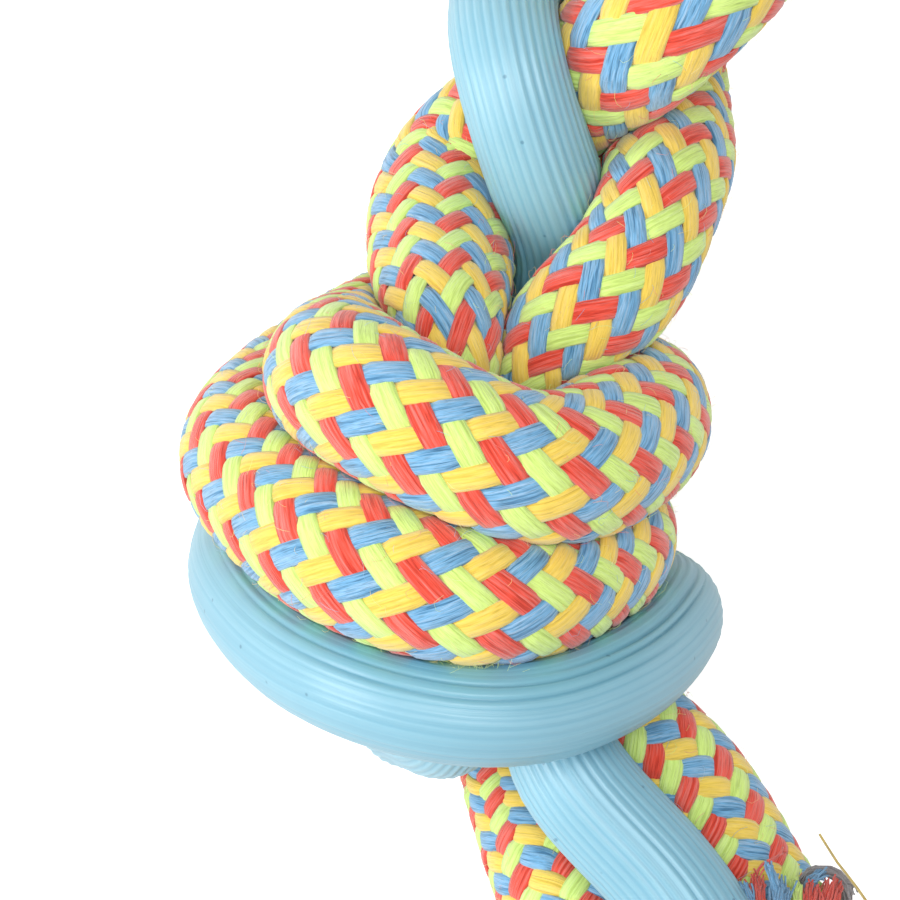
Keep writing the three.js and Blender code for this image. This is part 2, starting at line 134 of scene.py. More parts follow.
TUBE_KNOT = (
    (-78, -3, -3, 0.1, 1),
    (-86.5, -3.5, -5, 0.3, 0.5),
    (-97, -3, -3.5, 0.9, 0),
    (-107, -2.5, -2, 1, 0),
    (-117, -5, 9, 1, 0),
    (-125, -11, 14, 1, 0),
    (-132, -11.5, 14, 0.8, 0.6),
    (-136, -9, 11, 0.4, 1),
    (-136, -4.5, 4, 0.3, 1),
    (-133, 1, -6.5, 0.2, 0.6),
    (-129.5, 3.5, -16.5, 0.2, 0.2),
    (-125.5, -3, -21, 0.1, 0),
    (-119.5, -11.5, -19, 0.1, 0),
    (-115, -15.5, -13, 0.1, 0.8),
    (-116, -19, -3, 0.1, 1),
    (-122, -18.5, 8, 0.1, 1),
    (-128, -15.5, 18, 0.1, 1),
    (-132, -11, 22, 0.1, 1),
    (-134.2, -4, 23.5, 0.1, 1),
    (-135, 6.4, 22, 0.1, 1),
    (-133.8, 14, 15, 0.1, 1),
    (-130, 20.5, 7, 0.1, 1),
    (-126, 22.5, -2, 0.1, 1),
    (-120.5, 17, -13, 0.1, 0.7),
    (-114, 10, -20, 0.2, 0),
    (-108, 2, -18.5, 0.5, 0),
    (-108, -6.5, -10, 0.9, 0),
    (-115, -12, 3, 1, 0),
    (-123.5, -17, 5, 0.9, 0),
    (-131, -20, 6.5, 0.5, 0.3),
    (-137, -23, 8, 0.1, 1),
    (-143.5, -30, 9, 0.1, 1),
    (-149, -36.5, 10, 0.1, 1),
    (-155.5, -43, 12, 0.1, 1),
)

# The easing apart of the strands.
POINTS_PER_RING = 2
EASING_ROUNDS = 500
LAST_ROUNDS = 150
FIRM_HOLD_SHARE = 0.15
LOOSE_HOLD_SHARE = 0.004
DEPTH_HOLD_SHARE = 0.25
HOLD_LOST_SHARE = 0.9
SPREAD_SHARE = 0.22
LAST_SPREAD_SHARE = 0.066
BEND_KEPT_SHARE = 0.5
PAIR_EVERY = 15
PAIR_REACH = 5
NEIGHBOUR_TURNS = 1.9
CONTACT_PUSH_SHARE = 0.2
MOST_PUSH_SHARE = 1.8
PASSED_ON_SHARE = -0.25
PASSED_ON_RINGS = 20

# How many points a smooth curve has from one given place to the next, and how small a value still isn't zero.
ROUTE_FINENESS = 24
RING_FINENESS = 12
NOT_ZERO = 1e-6


def shared_between(low, high, share):
    """The value at a share of the way from low to high."""
    return low + (high - low) * share


def unit(vectors):
    """The same vectors, each one long."""
    return vectors / np.linalg.norm(vectors, axis=-1, keepdims=True)


# The routes of the strands.


def plait_place(lead, x):
    """The place of a strand in the plait, x from the toy's middle."""
    angle = 2 * math.pi * x / PLAIT_PITCH + lead
    return (x, -PLAIT_HALF_WIDTH * math.cos(angle), -PLAIT_HALF_DEPTH * math.sin(2 * angle))


def half_guides(knot_rows, lead):
    """Guide rows of half a strand, from its end at -X to the toy's middle."""
    guides = [(x, y, z + KNOT_RISE, squeeze, hold) for x, y, z, squeeze, hold in reversed(knot_rows)]
    for step in range(PLAIT_STEPS + 1):
        x = PLAIT_START * (1 - step / PLAIT_STEPS)
        guides.append((*plait_place(lead, x), PLAIT_SQUEEZE_SHARE, PLAIT_HOLD_SHARE))
    return guides


def turned_guides(guides):
    """The same half turned half a turn about Y."""
    return [(-x, y, -z, squeeze, hold) for x, y, z, squeeze, hold in reversed(guides)]


def curve_through(places, points_per_span):
    """Points on a centripetal curve through the given ones, and each one's position in their numbering."""
    spans = len(places) - 1
    padded = np.vstack([2 * places[0] - places[1], places, 2 * places[-1] - places[-2]])
    position = np.arange(spans * points_per_span + 1) / points_per_span
    span = np.minimum(position.astype(int), spans - 1)
    share = (position - span)[:, None]
    p0, p1, p2, p3 = (padded[span + k] for k in range(4))
    d0, d1, d2 = (
        np.sqrt(np.linalg.norm(second - first, axis=1, keepdims=True))
        for first, second in ((p0, p1), (p1, p2), (p2, p3))
    )
    leaving = ((p1 - p0) / d0 - (p2 - p0) / (d0 + d1) + (p2 - p1) / d1) * d1
    arriving = ((p2 - p1) / d1 - (p3 - p1) / (d1 + d2) + (p3 - p2) / d2) * d1
    square = -3 * p1 + 3 * p2 - 2 * leaving - arriving
    cube = 2 * p1 - 2 * p2 + leaving + arriving
    return p1 + leaving * share + square * share**2 + cube * share**3, position


def smooth_route(guides):
    """Points at a steady step on a smooth curve through the guides, with their squeeze and hold."""
    guides = np.array(guides, float)
    fine, position = curve_through(guides[:, :3], ROUTE_FINENESS)
    others = sampled(guides[:, 3:], np.arange(len(guides)), position)
    reached = distances_along(fine)
    steps = POINTS_PER_RING * round(reached[-1] / RING_STEP)
    targets = np.linspace(0, reached[-1], steps + 1)
    return sampled(np.hstack([fine, others]), reached, targets)


def distances_along(places):
    """How far along a polyline each of its points lies."""
    return np.concatenate([[0], np.cumsum(np.linalg.norm(np.diff(places, axis=0), axis=1))])


def sampled(rows, reached, targets):
    """Rows of values that lie at known distances, read at other distances."""
    return np.stack([np.interp(targets, reached, column) for column in rows.T], axis=1)


def radius_at(squeeze, free, squeezed):
    """A strand's radius where it is squeezed by that much."""
    return free + (squeezed - free) * np.minimum(squeeze, 1)


def near_pairs(place, strand, radius):
    """Which points lie close enough to touch, apart from neighbours along one strand."""
    gap = np.linalg.norm(place[:, None] - place[None], axis=2)
    touching = radius[:, None] + radius[None]
    number = np.arange(len(place))
    along = np.abs(number[:, None] - number[None]) * RING_STEP / POINTS_PER_RING
    neighbours = (strand[:, None] == strand[None]) & (along < NEIGHBOUR_TURNS * touching)
    near = (gap < touching + PAIR_REACH) & ~neighbours
    return np.nonzero(np.triu(near, 1))


def push_apart(place, pairs, radius):
    """Moves the two points of each pair apart until their strands only touch."""
    one, other = pairs
    way = place[one] - place[other]
    distance = np.linalg.norm(way, axis=1)
    overlap = np.maximum(radius[one] + radius[other] + STRAND_GAP - distance, 0)
    push = way * (overlap / (2 * distance))[:, None]
    touching = (overlap > 0).astype(float)
    total = len(place)
    contacts = np.bincount(one, touching, total) + np.bincount(other, touching, total)
    moved = np.stack(
        [np.bincount(one, push[:, k], total) - np.bincount(other, push[:, k], total) for k in range(3)],
        axis=1,
    )
    strength = np.minimum(MOST_PUSH_SHARE, 1 + CONTACT_PUSH_SHARE * contacts) / np.maximum(contacts, 1)
    return place + moved * strength[:, None]


def straightened(place):
    """Keeps a strand straight from ring to ring: what moved a point between two rings moves the rings."""
    rings = place[::POINTS_PER_RING].copy()
    halfway = place[1::POINTS_PER_RING]
    lag = (halfway - (rings[:-1] + rings[1:]) / 2) / 2
    passed_on = PASSED_ON_SHARE ** np.arange(PASSED_ON_RINGS)
    shift = np.stack([np.convolve(lag[:, k], passed_on)[: len(lag)] for k in range(3)], axis=1)
    rings[:-1] += shift
    rings[1:] += shift
    result = np.empty_like(place)
    result[::POINTS_PER_RING] = rings
    result[1::POINTS_PER_RING] = (rings[:-1] + rings[1:]) / 2
    return result


def ease_apart(routes, radii):
    """Eases all the strands apart together, and gives each one's places."""
    guide = np.vstack([route[:, :3] for route in routes])
    hold = np.concatenate([route[:, 4] for route in routes])
    radius = np.concatenate(radii)
    strand = np.concatenate([np.full(len(route), k) for k, route in enumerate(routes)])
    ends = np.cumsum([0] + [len(route) for route in routes])
    inner = np.ones(len(guide), bool)
    inner[ends[:-1]] = False
    inner[ends[1:] - 1] = False
    inner = np.nonzero(inner)[0]
    place = guide.copy()
    hold_share = (LOOSE_HOLD_SHARE + (FIRM_HOLD_SHARE - LOOSE_HOLD_SHARE) * hold)[:, None]
    hold_share = hold_share * np.array([1, 1, DEPTH_HOLD_SHARE])
    for count in range(EASING_ROUNDS + LAST_ROUNDS):
        late_share = max(count - EASING_ROUNDS, 0) / LAST_ROUNDS
        if count % PAIR_EVERY == 0:
            pairs = near_pairs(place, strand, radius)
        place = push_apart(place, pairs, radius)
        if late_share == 0:
            place = place + (guide - place) * hold_share * (1 - HOLD_LOST_SHARE * count / EASING_ROUNDS)
        spread = LAST_SPREAD_SHARE * (1 - late_share) if late_share > 0 else SPREAD_SHARE
        shift = place - guide * BEND_KEPT_SHARE
        place[inner] += ((shift[inner - 1] + shift[inner + 1]) / 2 - shift[inner]) * spread
        for start, end in zip(ends[:-1], ends[1:]):
            place[start:end] = straightened(place[start:end])
    return [place[start:end] for start, end in zip(ends[:-1], ends[1:])]


upper_half = half_guides(UPPER_ROPE_KNOT, PLAIT_LEAD)
lower_half = half_guides(LOWER_ROPE_KNOT, -PLAIT_LEAD)
tube_half = half_guides(TUBE_KNOT, 0)
ROPE_SIZES = (ROPE_RADIUS, ROPE_SQUEEZED_RADIUS)
TUBE_SIZES = (TUBE_RADIUS, TUBE_SQUEEZED_RADIUS)
SIZES = (ROPE_SIZES, ROPE_SIZES, TUBE_SIZES)
routes = [
    smooth_route(upper_half + turned_guides(lower_half)[1:]),
    smooth_route(lower_half + turned_guides(upper_half)[1:]),
    smooth_route(tube_half + turned_guides(tube_half)[1:]),
]
cad_radii = [radius_at(route[:, 3], *sizes) for route, sizes in zip(routes, SIZES)]
eased_places = ease_apart(routes, cad_radii)


# The skin of a strand: a smooth centreline, directions across it, and how far the skin is from it.

SKIN_STEP = 0.8
SKIN_SIDES = 64
SMOOTHING_LENGTH = 2.5
SKIN_SMOOTHING_ROWS = 1.2
CONTACT_GAP = 0.1
FLOOR_GAP = 0.6
CONTACT_REACH = 3
THINNEST_SHARE = 0.35
LAST_STEP_SHARE = 0.999

# A visible strand's radius where it is free and in the heart of the knot, and how far it has to be
# squeezed before it gets thinner. It is fuller than the CAD's, because soft strands press flat.
ROPE_SKIN = (9.3, 5.1, 0.31)
TUBE_SKIN = (6.75, 3.4, 0.3)
YIELDING = 0.8

# How many widths away a row still counts when rows are smoothed.
SMOOTHING_REACH = 3


def blurred(rows, width, wrap=False):
    """The rows smoothed over that many of them, with the ends kept in place unless they wrap round."""
    reach = int(SMOOTHING_REACH * width) + 1
    weights = np.exp(-0.5 * (np.arange(-reach, reach + 1) / width) ** 2)
    weights /= weights.sum()
    if wrap:
        padded = np.concatenate([rows[-reach:], rows, rows[:reach]])
    else:
        before = 2 * rows[0] - rows[reach:0:-1]
        after = 2 * rows[-1] - rows[-2 : -reach - 2 : -1]
        padded = np.concatenate([before, rows, after])
    return sum(weight * padded[k : k + len(rows)] for k, weight in enumerate(weights))


def carried_sides(along):
    """A direction across the strand at each point, carried along it without twist."""
    side = np.empty_like(along)
    current = np.array([0.0, 0.0, 1.0])
    for k, direction in enumerate(along):
        current = current - direction * current.dot(direction)
        current /= np.linalg.norm(current)
        side[k] = current
    return side


def visible_radius(squeeze, free, heart, firmness):
    """How thick a soft strand looks where it is squeezed by that much, before its neighbours flatten it."""
    thinner = np.clip((squeeze - firmness) / (1 - firmness), 0, 1) ** YIELDING
    thicker = np.maximum(-squeeze, 0)
    return free + (heart - free) * (thinner - thicker)


def strand_line(eased, squeeze, skin):
    """The smooth centreline of a strand, and its free radius all along."""
    rings = eased[::POINTS_PER_RING]
    fine, position = curve_through(rings, RING_FINENESS)
    fine = fine + np.array(TOY_SHIFT)
    reached = distances_along(fine)
    steps = round(reached[-1] / SKIN_STEP)
    targets = np.linspace(0, reached[-1], steps + 1)
    place = blurred(sampled(fine, reached, targets), SMOOTHING_LENGTH / SKIN_STEP)
    numbers = np.interp(targets, reached, position)
    squeezed = np.interp(numbers, np.arange(len(rings)), squeeze[::POINTS_PER_RING])
    radius = blurred(visible_radius(squeezed, *skin)[:, None], SMOOTHING_LENGTH / SKIN_STEP)[:, 0]
    along = unit(np.gradient(place, axis=0))
    side = carried_sides(along)
    return {
        "place": place,
        "along": along,
        "side": side,
        "across": np.cross(along, side),
        "free_radius": radius,
        "reached": distances_along(place),
    }


def pressed_skin(line, number, lines):
    """How far the skin is from the centreline, pressed flat where it lies on a strand or on the floor."""
    angle = 2 * math.pi * np.arange(SKIN_SIDES) / SKIN_SIDES
    all_places = np.vstack([other["place"] for other in lines])
    all_radii = np.concatenate([other["free_radius"] for other in lines])
    all_reached = np.concatenate([other["reached"] for other in lines])
    owner = np.concatenate([np.full(len(other["place"]), k) for k, other in enumerate(lines)])
    skin = np.repeat(line["free_radius"][:, None], SKIN_SIDES, axis=1)
    for k, place in enumerate(line["place"]):
        radius = line["free_radius"][k]
        way = all_places - place
        distance_squared = (way**2).sum(axis=1)
        along_strand = np.abs(all_reached - line["reached"][k])
        own = (owner == number) & (along_strand < NEIGHBOUR_TURNS * 2 * radius)
        near = (distance_squared < (radius + all_radii + CONTACT_REACH) ** 2) & ~own
        direction = np.cos(angle)[:, None] * line["side"][k] + np.sin(angle)[:, None] * line["across"][k]
        to_floor = (place[2] - FLOOR_GAP) / np.maximum(-direction[:, 2], NOT_ZERO)
        skin[k] = np.minimum(skin[k], to_floor)
        if not near.any():
            continue
        toward = direction @ way[near].T
        power = distance_squared[near] + radius**2 - all_radii[near] ** 2
        limit = power[None] / (2 * np.maximum(toward, NOT_ZERO)) - CONTACT_GAP / 2
        skin[k] = np.minimum(skin[k], np.where(toward > 0, limit, np.inf).min(axis=1))
    skin = np.maximum(skin, THINNEST_SHARE * line["free_radius"][:, None])
    skin = blurred(skin, SKIN_SMOOTHING_ROWS)
    return blurred(skin.T, SKIN_SMOOTHING_ROWS, wrap=True).T


def skin_points(line, distance, angle, height):
    """Points over a strand's skin, at distances along it, angles round it and heights above it."""
    steps = len(line["place"]) - 1
    position = np.clip(distance / (line["reached"][-1] / steps), 0, steps - 1 + LAST_STEP_SHARE)
    row = position.astype(int)
    share = (position - row)[..., None]
    turn = (angle / (2 * math.pi) * SKIN_SIDES) % SKIN_SIDES
    column = turn.astype(int)
    column_share = turn - column
    column = column % SKIN_SIDES
    next_column = (column + 1) % SKIN_SIDES
    skin = line["skin"]
    lower = shared_between(skin[row, column], skin[row, next_column], column_share)
    upper = shared_between(skin[row + 1, column], skin[row + 1, next_column], column_share)
    radius = shared_between(lower, upper, share[..., 0]) + height
    middle = shared_between(line["place"][row], line["place"][row + 1], share)
    side = shared_between(line["side"][row], line["side"][row + 1], share)
    across = shared_between(line["across"][row], line["across"][row + 1], share)
    direction = np.cos(angle)[..., None] * side + np.sin(angle)[..., None] * across
    return middle + radius[..., None] * direction


lines = [
    strand_line(eased, route[:, 3], skin)
    for eased, route, skin in zip(eased_places, routes, (ROPE_SKIN, ROPE_SKIN, TUBE_SKIN))
]
for number, line in enumerate(lines):
    line["skin"] = pressed_skin(line, number, lines)
rope_a, rope_b, tube = lines


# Meshes. In a UV map, U runs round or across a strand and V along it, in units of UV_LENGTH.

UV_LENGTH = 10
THREAD_UV_SHIFT = 0.37


def new_piece(name, places, faces, uv, material, slot, nodes=(), **marks):
    """A finished piece from points in millimetres, with its own UV map and marks for its material."""
    mesh = bpy.data.meshes.new(name)
    faces = np.asarray(faces)
    places = np.maximum(places, (-np.inf, -np.inf, 0))
    mesh.vertices.add(len(places))
    mesh.vertices.foreach_set("co", (places * MM).astype(np.float32).ravel())
    mesh.loops.add(faces.size)
    mesh.loops.foreach_set("vertex_index", faces.ravel().astype(np.int32))
    mesh.polygons.add(len(faces))
    mesh.polygons.foreach_set("loop_start", np.arange(0, faces.size, faces.shape[1], dtype=np.int32))
    mesh.polygons.foreach_set("use_smooth", np.ones(len(faces), bool))
    layer = mesh.uv_layers.new(name="UVMap")
    layer.data.foreach_set("uv", np.asarray(uv)[faces.ravel()].astype(np.float32).ravel())
    mesh.update(calc_edges=True)
    mesh.validate()
    for mark, values in marks.items():
        attribute = mesh.attributes.new(mark, "FLOAT", "POINT")
        attribute.data.foreach_set("value", values.astype(np.float32).ravel())
    piece = bpy.data.objects.new(name, mesh)
    bpy.context.scene.collection.objects.link(piece)
    piece.data.materials.append(material)
    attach(piece, "root")
    if nodes:
        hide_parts(*nodes)
    return piece


def swept_faces(rings, corners):
    """Four-sided faces between rings of corners that follow each other, and over both ends."""
    ring = np.arange(rings - 1)[:, None] * corners
    corner = np.arange(corners)[None]
    after = (corner + 1) % corners
    quads = np.stack([ring + corner, ring + after, ring + corners + after, ring + corners + corner], axis=2)
    cap = np.array([(0, k, k + 1, (k + 2) % corners) for k in range(1, corners - 1, 2)])
    return np.vstack([quads.reshape(-1, 4), cap[:, ::-1], cap + (rings - 1) * corners])


def thread_piece(name, paths, radius, tip_share, corners, material, slot, nodes=()):
    """A piece of many round threads along paths, which get thinner toward their tips."""
    count, rings = paths.shape[:2]
    radii = radius * np.linspace(1, tip_share, rings)
    along = unit(np.gradient(paths, axis=1))
    reference = np.eye(3)[np.abs(paths[:, -1] - paths[:, 0]).argmin(axis=1)][:, None]
    side = unit(np.cross(along, np.broadcast_to(reference, along.shape)))
    across = np.cross(along, side)
    angle = 2 * math.pi * np.arange(corners) / corners
    round_way = np.cos(angle)[:, None] * side[:, :, None] + np.sin(angle)[:, None] * across[:, :, None]
    points = paths[:, :, None] + radii[None, :, None, None] * round_way
    faces = swept_faces(rings, corners)[None] + (np.arange(count) * rings * corners)[:, None, None]
    reached = np.linalg.norm(np.diff(paths, axis=1), axis=2).cumsum(axis=1)
    reached = np.hstack([np.zeros((count, 1)), reached])
    along_uv = reached / UV_LENGTH + np.arange(count)[:, None] * THREAD_UV_SHIFT
    round_uv = np.arange(corners) / corners
    uv = np.stack(np.broadcast_arrays(round_uv[None, None], along_uv[:, :, None]), axis=3)
    new_piece(name, points.reshape(-1, 3), faces.reshape(-1, 4), uv.reshape(-1, 2), material, slot, nodes)


# The braided covers: sixteen tows wound each way, each over two and under two of the others.

TOWS_EACH_WAY = 16
BRAID_PITCH = 55
COVER_END = 15.5

# The braid loosens in the tails, where its tows lie more across the rope.
SLACK_PITCH = 45
SLACK_LENGTH = 62
TIGHT_LENGTH = 88
SLACK_SWAY = 0.2

# In the plait the ropes are pulled, which stretches the braid there.
STRETCHED_PITCH = 60
STRETCH_STARTS = 92
STRETCH_FULL = 80

# A tow: where its rings lie in each repeat of the weave, how it rises and sinks, and how unevenly it lies.
WEAVE_REPEAT = 4
WEAVE_RINGS = (0.0, 0.26, 0.6, 1.0, 1.4, 1.74, 2.0, 2.4, 3.0, 3.6)
RIGHT_HANDED_SHIFT = 0.5
LEFT_HANDED_SHIFT = 1.5
SPARE_REPEATS = 12
TOW_RISE = 0.32
RISE_ROUNDNESS = 0.12
TOW_THICKNESS = 1.05
TOW_MOST_SPACING = 4.1
TOW_WIDTH_SHARES = (1.02, 1.14)
TOW_UV_SHIFT = 7.3
UNEVEN_ROWS = 4
UNEVEN_STRENGTH = 2.5
UNEVEN_DEPTH = 0.05
UNEVEN_ANGLE = 0.012
UNEVEN_WIDTH_SHARE = 0.03
TRIAL_STEP = 0.04
TOW_SECTION = (
    (-1, -0.15),
    (-0.93, 0.5),
    (-0.45, 0.9),
    (0.45, 0.9),
    (0.93, 0.5),
    (1, -0.15),
    (0, -0.7),
)

# The colours, which way they wind (1 for right-handed), and whether they take the even or the odd tows.
WINDINGS = (("lime", 1, 0), ("red", 1, 1), ("yellow", -1, 0), ("blue", -1, 1))


def stretched_share(line):
    """How far the pull of the plait has stretched the braid at each point of a rope, from 0 to 1."""
    from_middle = np.abs(line["place"][:, 0])
    return np.clip((STRETCH_STARTS - from_middle) / (STRETCH_STARTS - STRETCH_FULL), 0, 1)


def slack_share(line):
    """How loose the braid is at each point of a rope, from 0 where it is tight to 1 in the tails."""
    reached = line["reached"]
    to_end = np.minimum(reached, reached[-1] - reached)
    slack = np.clip((TIGHT_LENGTH - to_end) / (TIGHT_LENGTH - SLACK_LENGTH), 0, 1)
    return slack * slack * (3 - 2 * slack)


def braid_phase(line):
    """How far round the tows have turned at each point of a rope."""
    reached = line["reached"]
    pitch = shared_between(BRAID_PITCH, SLACK_PITCH, slack_share(line))
    pitch = shared_between(pitch, STRETCHED_PITCH, stretched_share(line))
    rate = 2 * math.pi / pitch
    return np.concatenate([[0], np.cumsum((rate[1:] + rate[:-1]) / 2 * np.diff(reached))])


def tow(line, phase, handed, number, first_row, chance):
    """Points, faces and UV of one tow. handed is 1 for a right-handed winding, -1 for a left-handed one."""
    per_turn = TOWS_EACH_WAY / math.pi
    ends = (COVER_END, line["reached"][-1] - COVER_END)
    first, last = np.interp(ends, line["reached"], phase) * per_turn
    most = int(last / WEAVE_REPEAT) + SPARE_REPEATS
    weave = (np.arange(-most, most)[:, None] * WEAVE_REPEAT + np.array(WEAVE_RINGS)[None]).ravel()
    if handed > 0:
        crossing = weave - (2 * number + RIGHT_HANDED_SHIFT)
    else:
        weave = weave[::-1]
        crossing = (2 * number - LEFT_HANDED_SHIFT) - weave
    inside = (crossing > first) & (crossing < last)
    weave = weave[inside]
    turned = crossing[inside] / per_turn
    distance = np.interp(turned, phase, line["reached"])
    sway = SLACK_SWAY * np.interp(distance, line["reached"], slack_share(line))
    weave_angle = 2 * math.pi * weave / WEAVE_REPEAT
    distance = distance + handed * sway * np.cos(weave_angle)
    angle = 2 * math.pi * number / TOWS_EACH_WAY + handed * turned
    wave = np.sin(weave_angle)
    wave = wave / np.sqrt(wave**2 + RISE_ROUNDNESS) * math.sqrt(1 + RISE_ROUNDNESS)
    uneven = blurred(chance.normal(size=(len(weave), 3)), UNEVEN_ROWS) * UNEVEN_STRENGTH
    depth = np.full_like(distance, -TOW_RISE - TOW_THICKNESS / 2) + UNEVEN_DEPTH * uneven[:, 0]
    angle = angle + UNEVEN_ANGLE * uneven[:, 1]
    centre = skin_points(line, distance, angle, depth)
    outward_step = skin_points(line, distance, angle, depth + 1) - centre
    length_step = (skin_points(line, distance + TRIAL_STEP, angle, depth) - centre) / TRIAL_STEP
    along = unit(np.gradient(centre, axis=0))
    length_step = length_step - along * (length_step * along).sum(axis=1, keepdims=True)
    rate = np.interp(distance, line["reached"], np.gradient(phase, line["reached"]))
    spacing = np.linalg.norm(length_step, axis=1) * 2 * math.pi / rate / TOWS_EACH_WAY
    outward = unit(outward_step - along * (outward_step * along).sum(axis=1, keepdims=True))
    broad = np.cross(along, outward)
    width_share = shared_between(*TOW_WIDTH_SHARES, (wave + 1) / 2) * (1 + UNEVEN_WIDTH_SHARE * uneven[:, 2])
    half_width = np.minimum(spacing, TOW_MOST_SPACING) / 2 * width_share
    section = np.array(TOW_SECTION)
    middle = centre + outward * (wave * TOW_RISE)[:, None]
    sideways = half_width[:, None] * section[None, :, 0]
    upward = section[:, 1] * TOW_THICKNESS / 2
    points = middle[:, None] + broad[:, None] * sideways[..., None]
    points = points + outward[:, None] * upward[None, :, None]
    along_uv = distances_along(centre) / UV_LENGTH + TOW_UV_SHIFT * number
    uv = np.stack(np.broadcast_arrays((section[None, :, 0] + 1) / 2, along_uv[:, None]), axis=2)
    faces = swept_faces(*points.shape[:2]) + first_row
    return points.reshape(-1, 3), faces, uv.reshape(-1, 2)


def braid(line, letter, yarns, chance):
    """The four colours of tows of one rope."""
    phase = braid_phase(line)
    for colour, handed, parity in WINDINGS:
        parts = []
        rows = 0
        for number in range(parity, TOWS_EACH_WAY, 2):
            parts.append(tow(line, phase, handed, number, rows, chance))
            rows += len(parts[-1][0])
        places, faces, uv = (np.concatenate(column) for column in zip(*parts))
        name = f"rope_{letter}_tows_{colour}"
        new_piece(name, places, faces, uv, yarns[colour], f"rope_braid_{letter}", (f"rope_cover_{letter}",))


# The core: grey yarn that fills the cover.

CORE_DEPTH = 1.5
CORE_STEP = 2.0
CORE_SIDES = 24


def rope_core(line, letter, material):
    """The grey core of a rope as one bundle, from one end of its cover to the other."""
    length = line["reached"][-1] - 2 * COVER_END
    rings = round(length / CORE_STEP) + 1
    distance = COVER_END + np.linspace(0, length, rings)
    angle = 2 * math.pi * np.arange(CORE_SIDES) / CORE_SIDES
    distance, angle = (grid.T for grid in np.meshgrid(distance, angle))
    points = skin_points(line, distance, angle, np.full(distance.shape, -CORE_DEPTH))
    uv = np.stack([angle, distance / UV_LENGTH], axis=2)
    faces = swept_faces(rings, CORE_SIDES)
    name = f"rope_{letter}_core_yarn"
    places = points.reshape(-1, 3)
    new_piece(name, places, faces, uv.reshape(-1, 2), material, "rope_core", (f"rope_core_{letter}",))


# The frayed ends: each tow comes apart into its yarns past the end of the cover, and the core shows.

YARNS_PER_TOW = 8
YARN_RADIUS = 0.34
YARN_TIP_SHARE = 0.75
YARN_RINGS = 14
YARN_SIDES = 5
FRAY_START = 2.5
FRAY_FULL = 4
LONGEST_FRAY = 14.5
YARN_LENGTH_SHARES = (0.55, 1.12)
UNWIND_LENGTH = 2.5
CRIMP_LENGTH = 5.5
CRIMP_HEIGHT = 0.5
CRIMP_SIDEWAYS_RATE = 1.3
SWAY_ROWS = 1.6
SWAY_ANGLE = 0.16
SWAY_HEIGHT = 1.1

# How far the yarns spread from the rope: on average, how much they differ, and the few that stand off.
YARN_SPREAD = (-0.6, 1.6)
SPREAD_POWER = 1.3
STANDING_SPREAD = 4
STANDING_SHARE = 0.12

CORE_YARNS = 110
CORE_YARN_RADIUS = 0.442
CORE_LENGTH_SHARES = (0.5, 1)
CORE_SPREAD = (0, 1.2)
CORE_WINDING = (0, 0.4)


def fray_paths(line, end, start_angle, start_depth, winding, length, spread, chance):
    """Paths of yarns that leave one end of a rope's cover, spread out and keep the crimp of the braid."""
    count = len(start_angle)
    share = np.linspace(0, 1, YARN_RINGS)[None]
    out = share * length[:, None] - FRAY_START
    distance = COVER_END - out
    if end == 2:
        distance = line["reached"][-1] - distance
    unwound = UNWIND_LENGTH * (1 - np.exp(-np.maximum(out, -FRAY_START) / UNWIND_LENGTH))
    turn = 2 * math.pi / SLACK_PITCH * unwound * (1 if end == 2 else -1)
    crimp = 2 * math.pi * (out / CRIMP_LENGTH + chance.random((count, 1)))
    growing = np.clip(out / FRAY_FULL, 0, 1)
    sideways = blurred(chance.normal(size=(YARN_RINGS, count)), SWAY_ROWS).T * growing
    outward = blurred(chance.normal(size=(YARN_RINGS, count)), SWAY_ROWS).T * growing
    angle = start_angle[:, None] + winding[:, None] * turn + SWAY_ANGLE * sideways
    angle = angle + growing * CRIMP_HEIGHT / ROPE_SKIN[0] * np.cos(CRIMP_SIDEWAYS_RATE * crimp)
    height = start_depth[:, None] + spread[:, None] * growing * share**SPREAD_POWER
    height = height + growing * CRIMP_HEIGHT * np.sin(crimp) + SWAY_HEIGHT * outward
    return skin_points(line, distance, angle, height)


def frayed_end(line, letter, end, yarns, chance):
    """The loose yarns at one end of a rope."""
    phase = braid_phase(line)
    edge = COVER_END if end == 1 else line["reached"][-1] - COVER_END
    turned = np.interp(edge, line["reached"], phase)
    node = f"tassel_{letter}_{end}"
    for colour, handed, parity in WINDINGS:
        tows = np.arange(parity, TOWS_EACH_WAY, 2)
        middle = 2 * math.pi * tows / TOWS_EACH_WAY + handed * turned
        beside = (np.arange(YARNS_PER_TOW) + 0.5) / YARNS_PER_TOW - 0.5
        start = (middle[:, None] + 2 * math.pi / TOWS_EACH_WAY * beside).ravel()
        count = len(start)
        depth = np.full(count, -TOW_THICKNESS / 2 - TOW_RISE * chance.random(count))
        length = FRAY_START + LONGEST_FRAY * chance.uniform(*YARN_LENGTH_SHARES, count)
        spread = chance.normal(*YARN_SPREAD, count)
        spread = spread + STANDING_SPREAD * (chance.random(count) < STANDING_SHARE)
        paths = fray_paths(line, end, start, depth, np.full(count, handed), length, spread, chance)
        name = f"frayed_{letter}_{end}_{colour}"
        looks = (YARN_RADIUS, YARN_TIP_SHARE, YARN_SIDES, yarns[colour])
        thread_piece(name, paths, *looks, f"rope_braid_{letter}", (node,))
    start = 2 * math.pi * chance.random(CORE_YARNS)
    free = np.interp(edge, line["reached"], line["free_radius"])
    depth = -free + (free - CORE_DEPTH - YARN_RADIUS) * np.sqrt(chance.random(CORE_YARNS))
    length = FRAY_START + COVER_END * chance.uniform(*CORE_LENGTH_SHARES, CORE_YARNS)
    spread = chance.normal(*CORE_SPREAD, CORE_YARNS)
    winding = chance.normal(*CORE_WINDING, CORE_YARNS)
    paths = fray_paths(line, end, start, depth, winding, length, spread, chance)
    name = f"frayed_{letter}_{end}_core"
    thread_piece(name, paths, CORE_YARN_RADIUS, 1, YARN_SIDES, yarns["grey"], "rope_core", (node,))


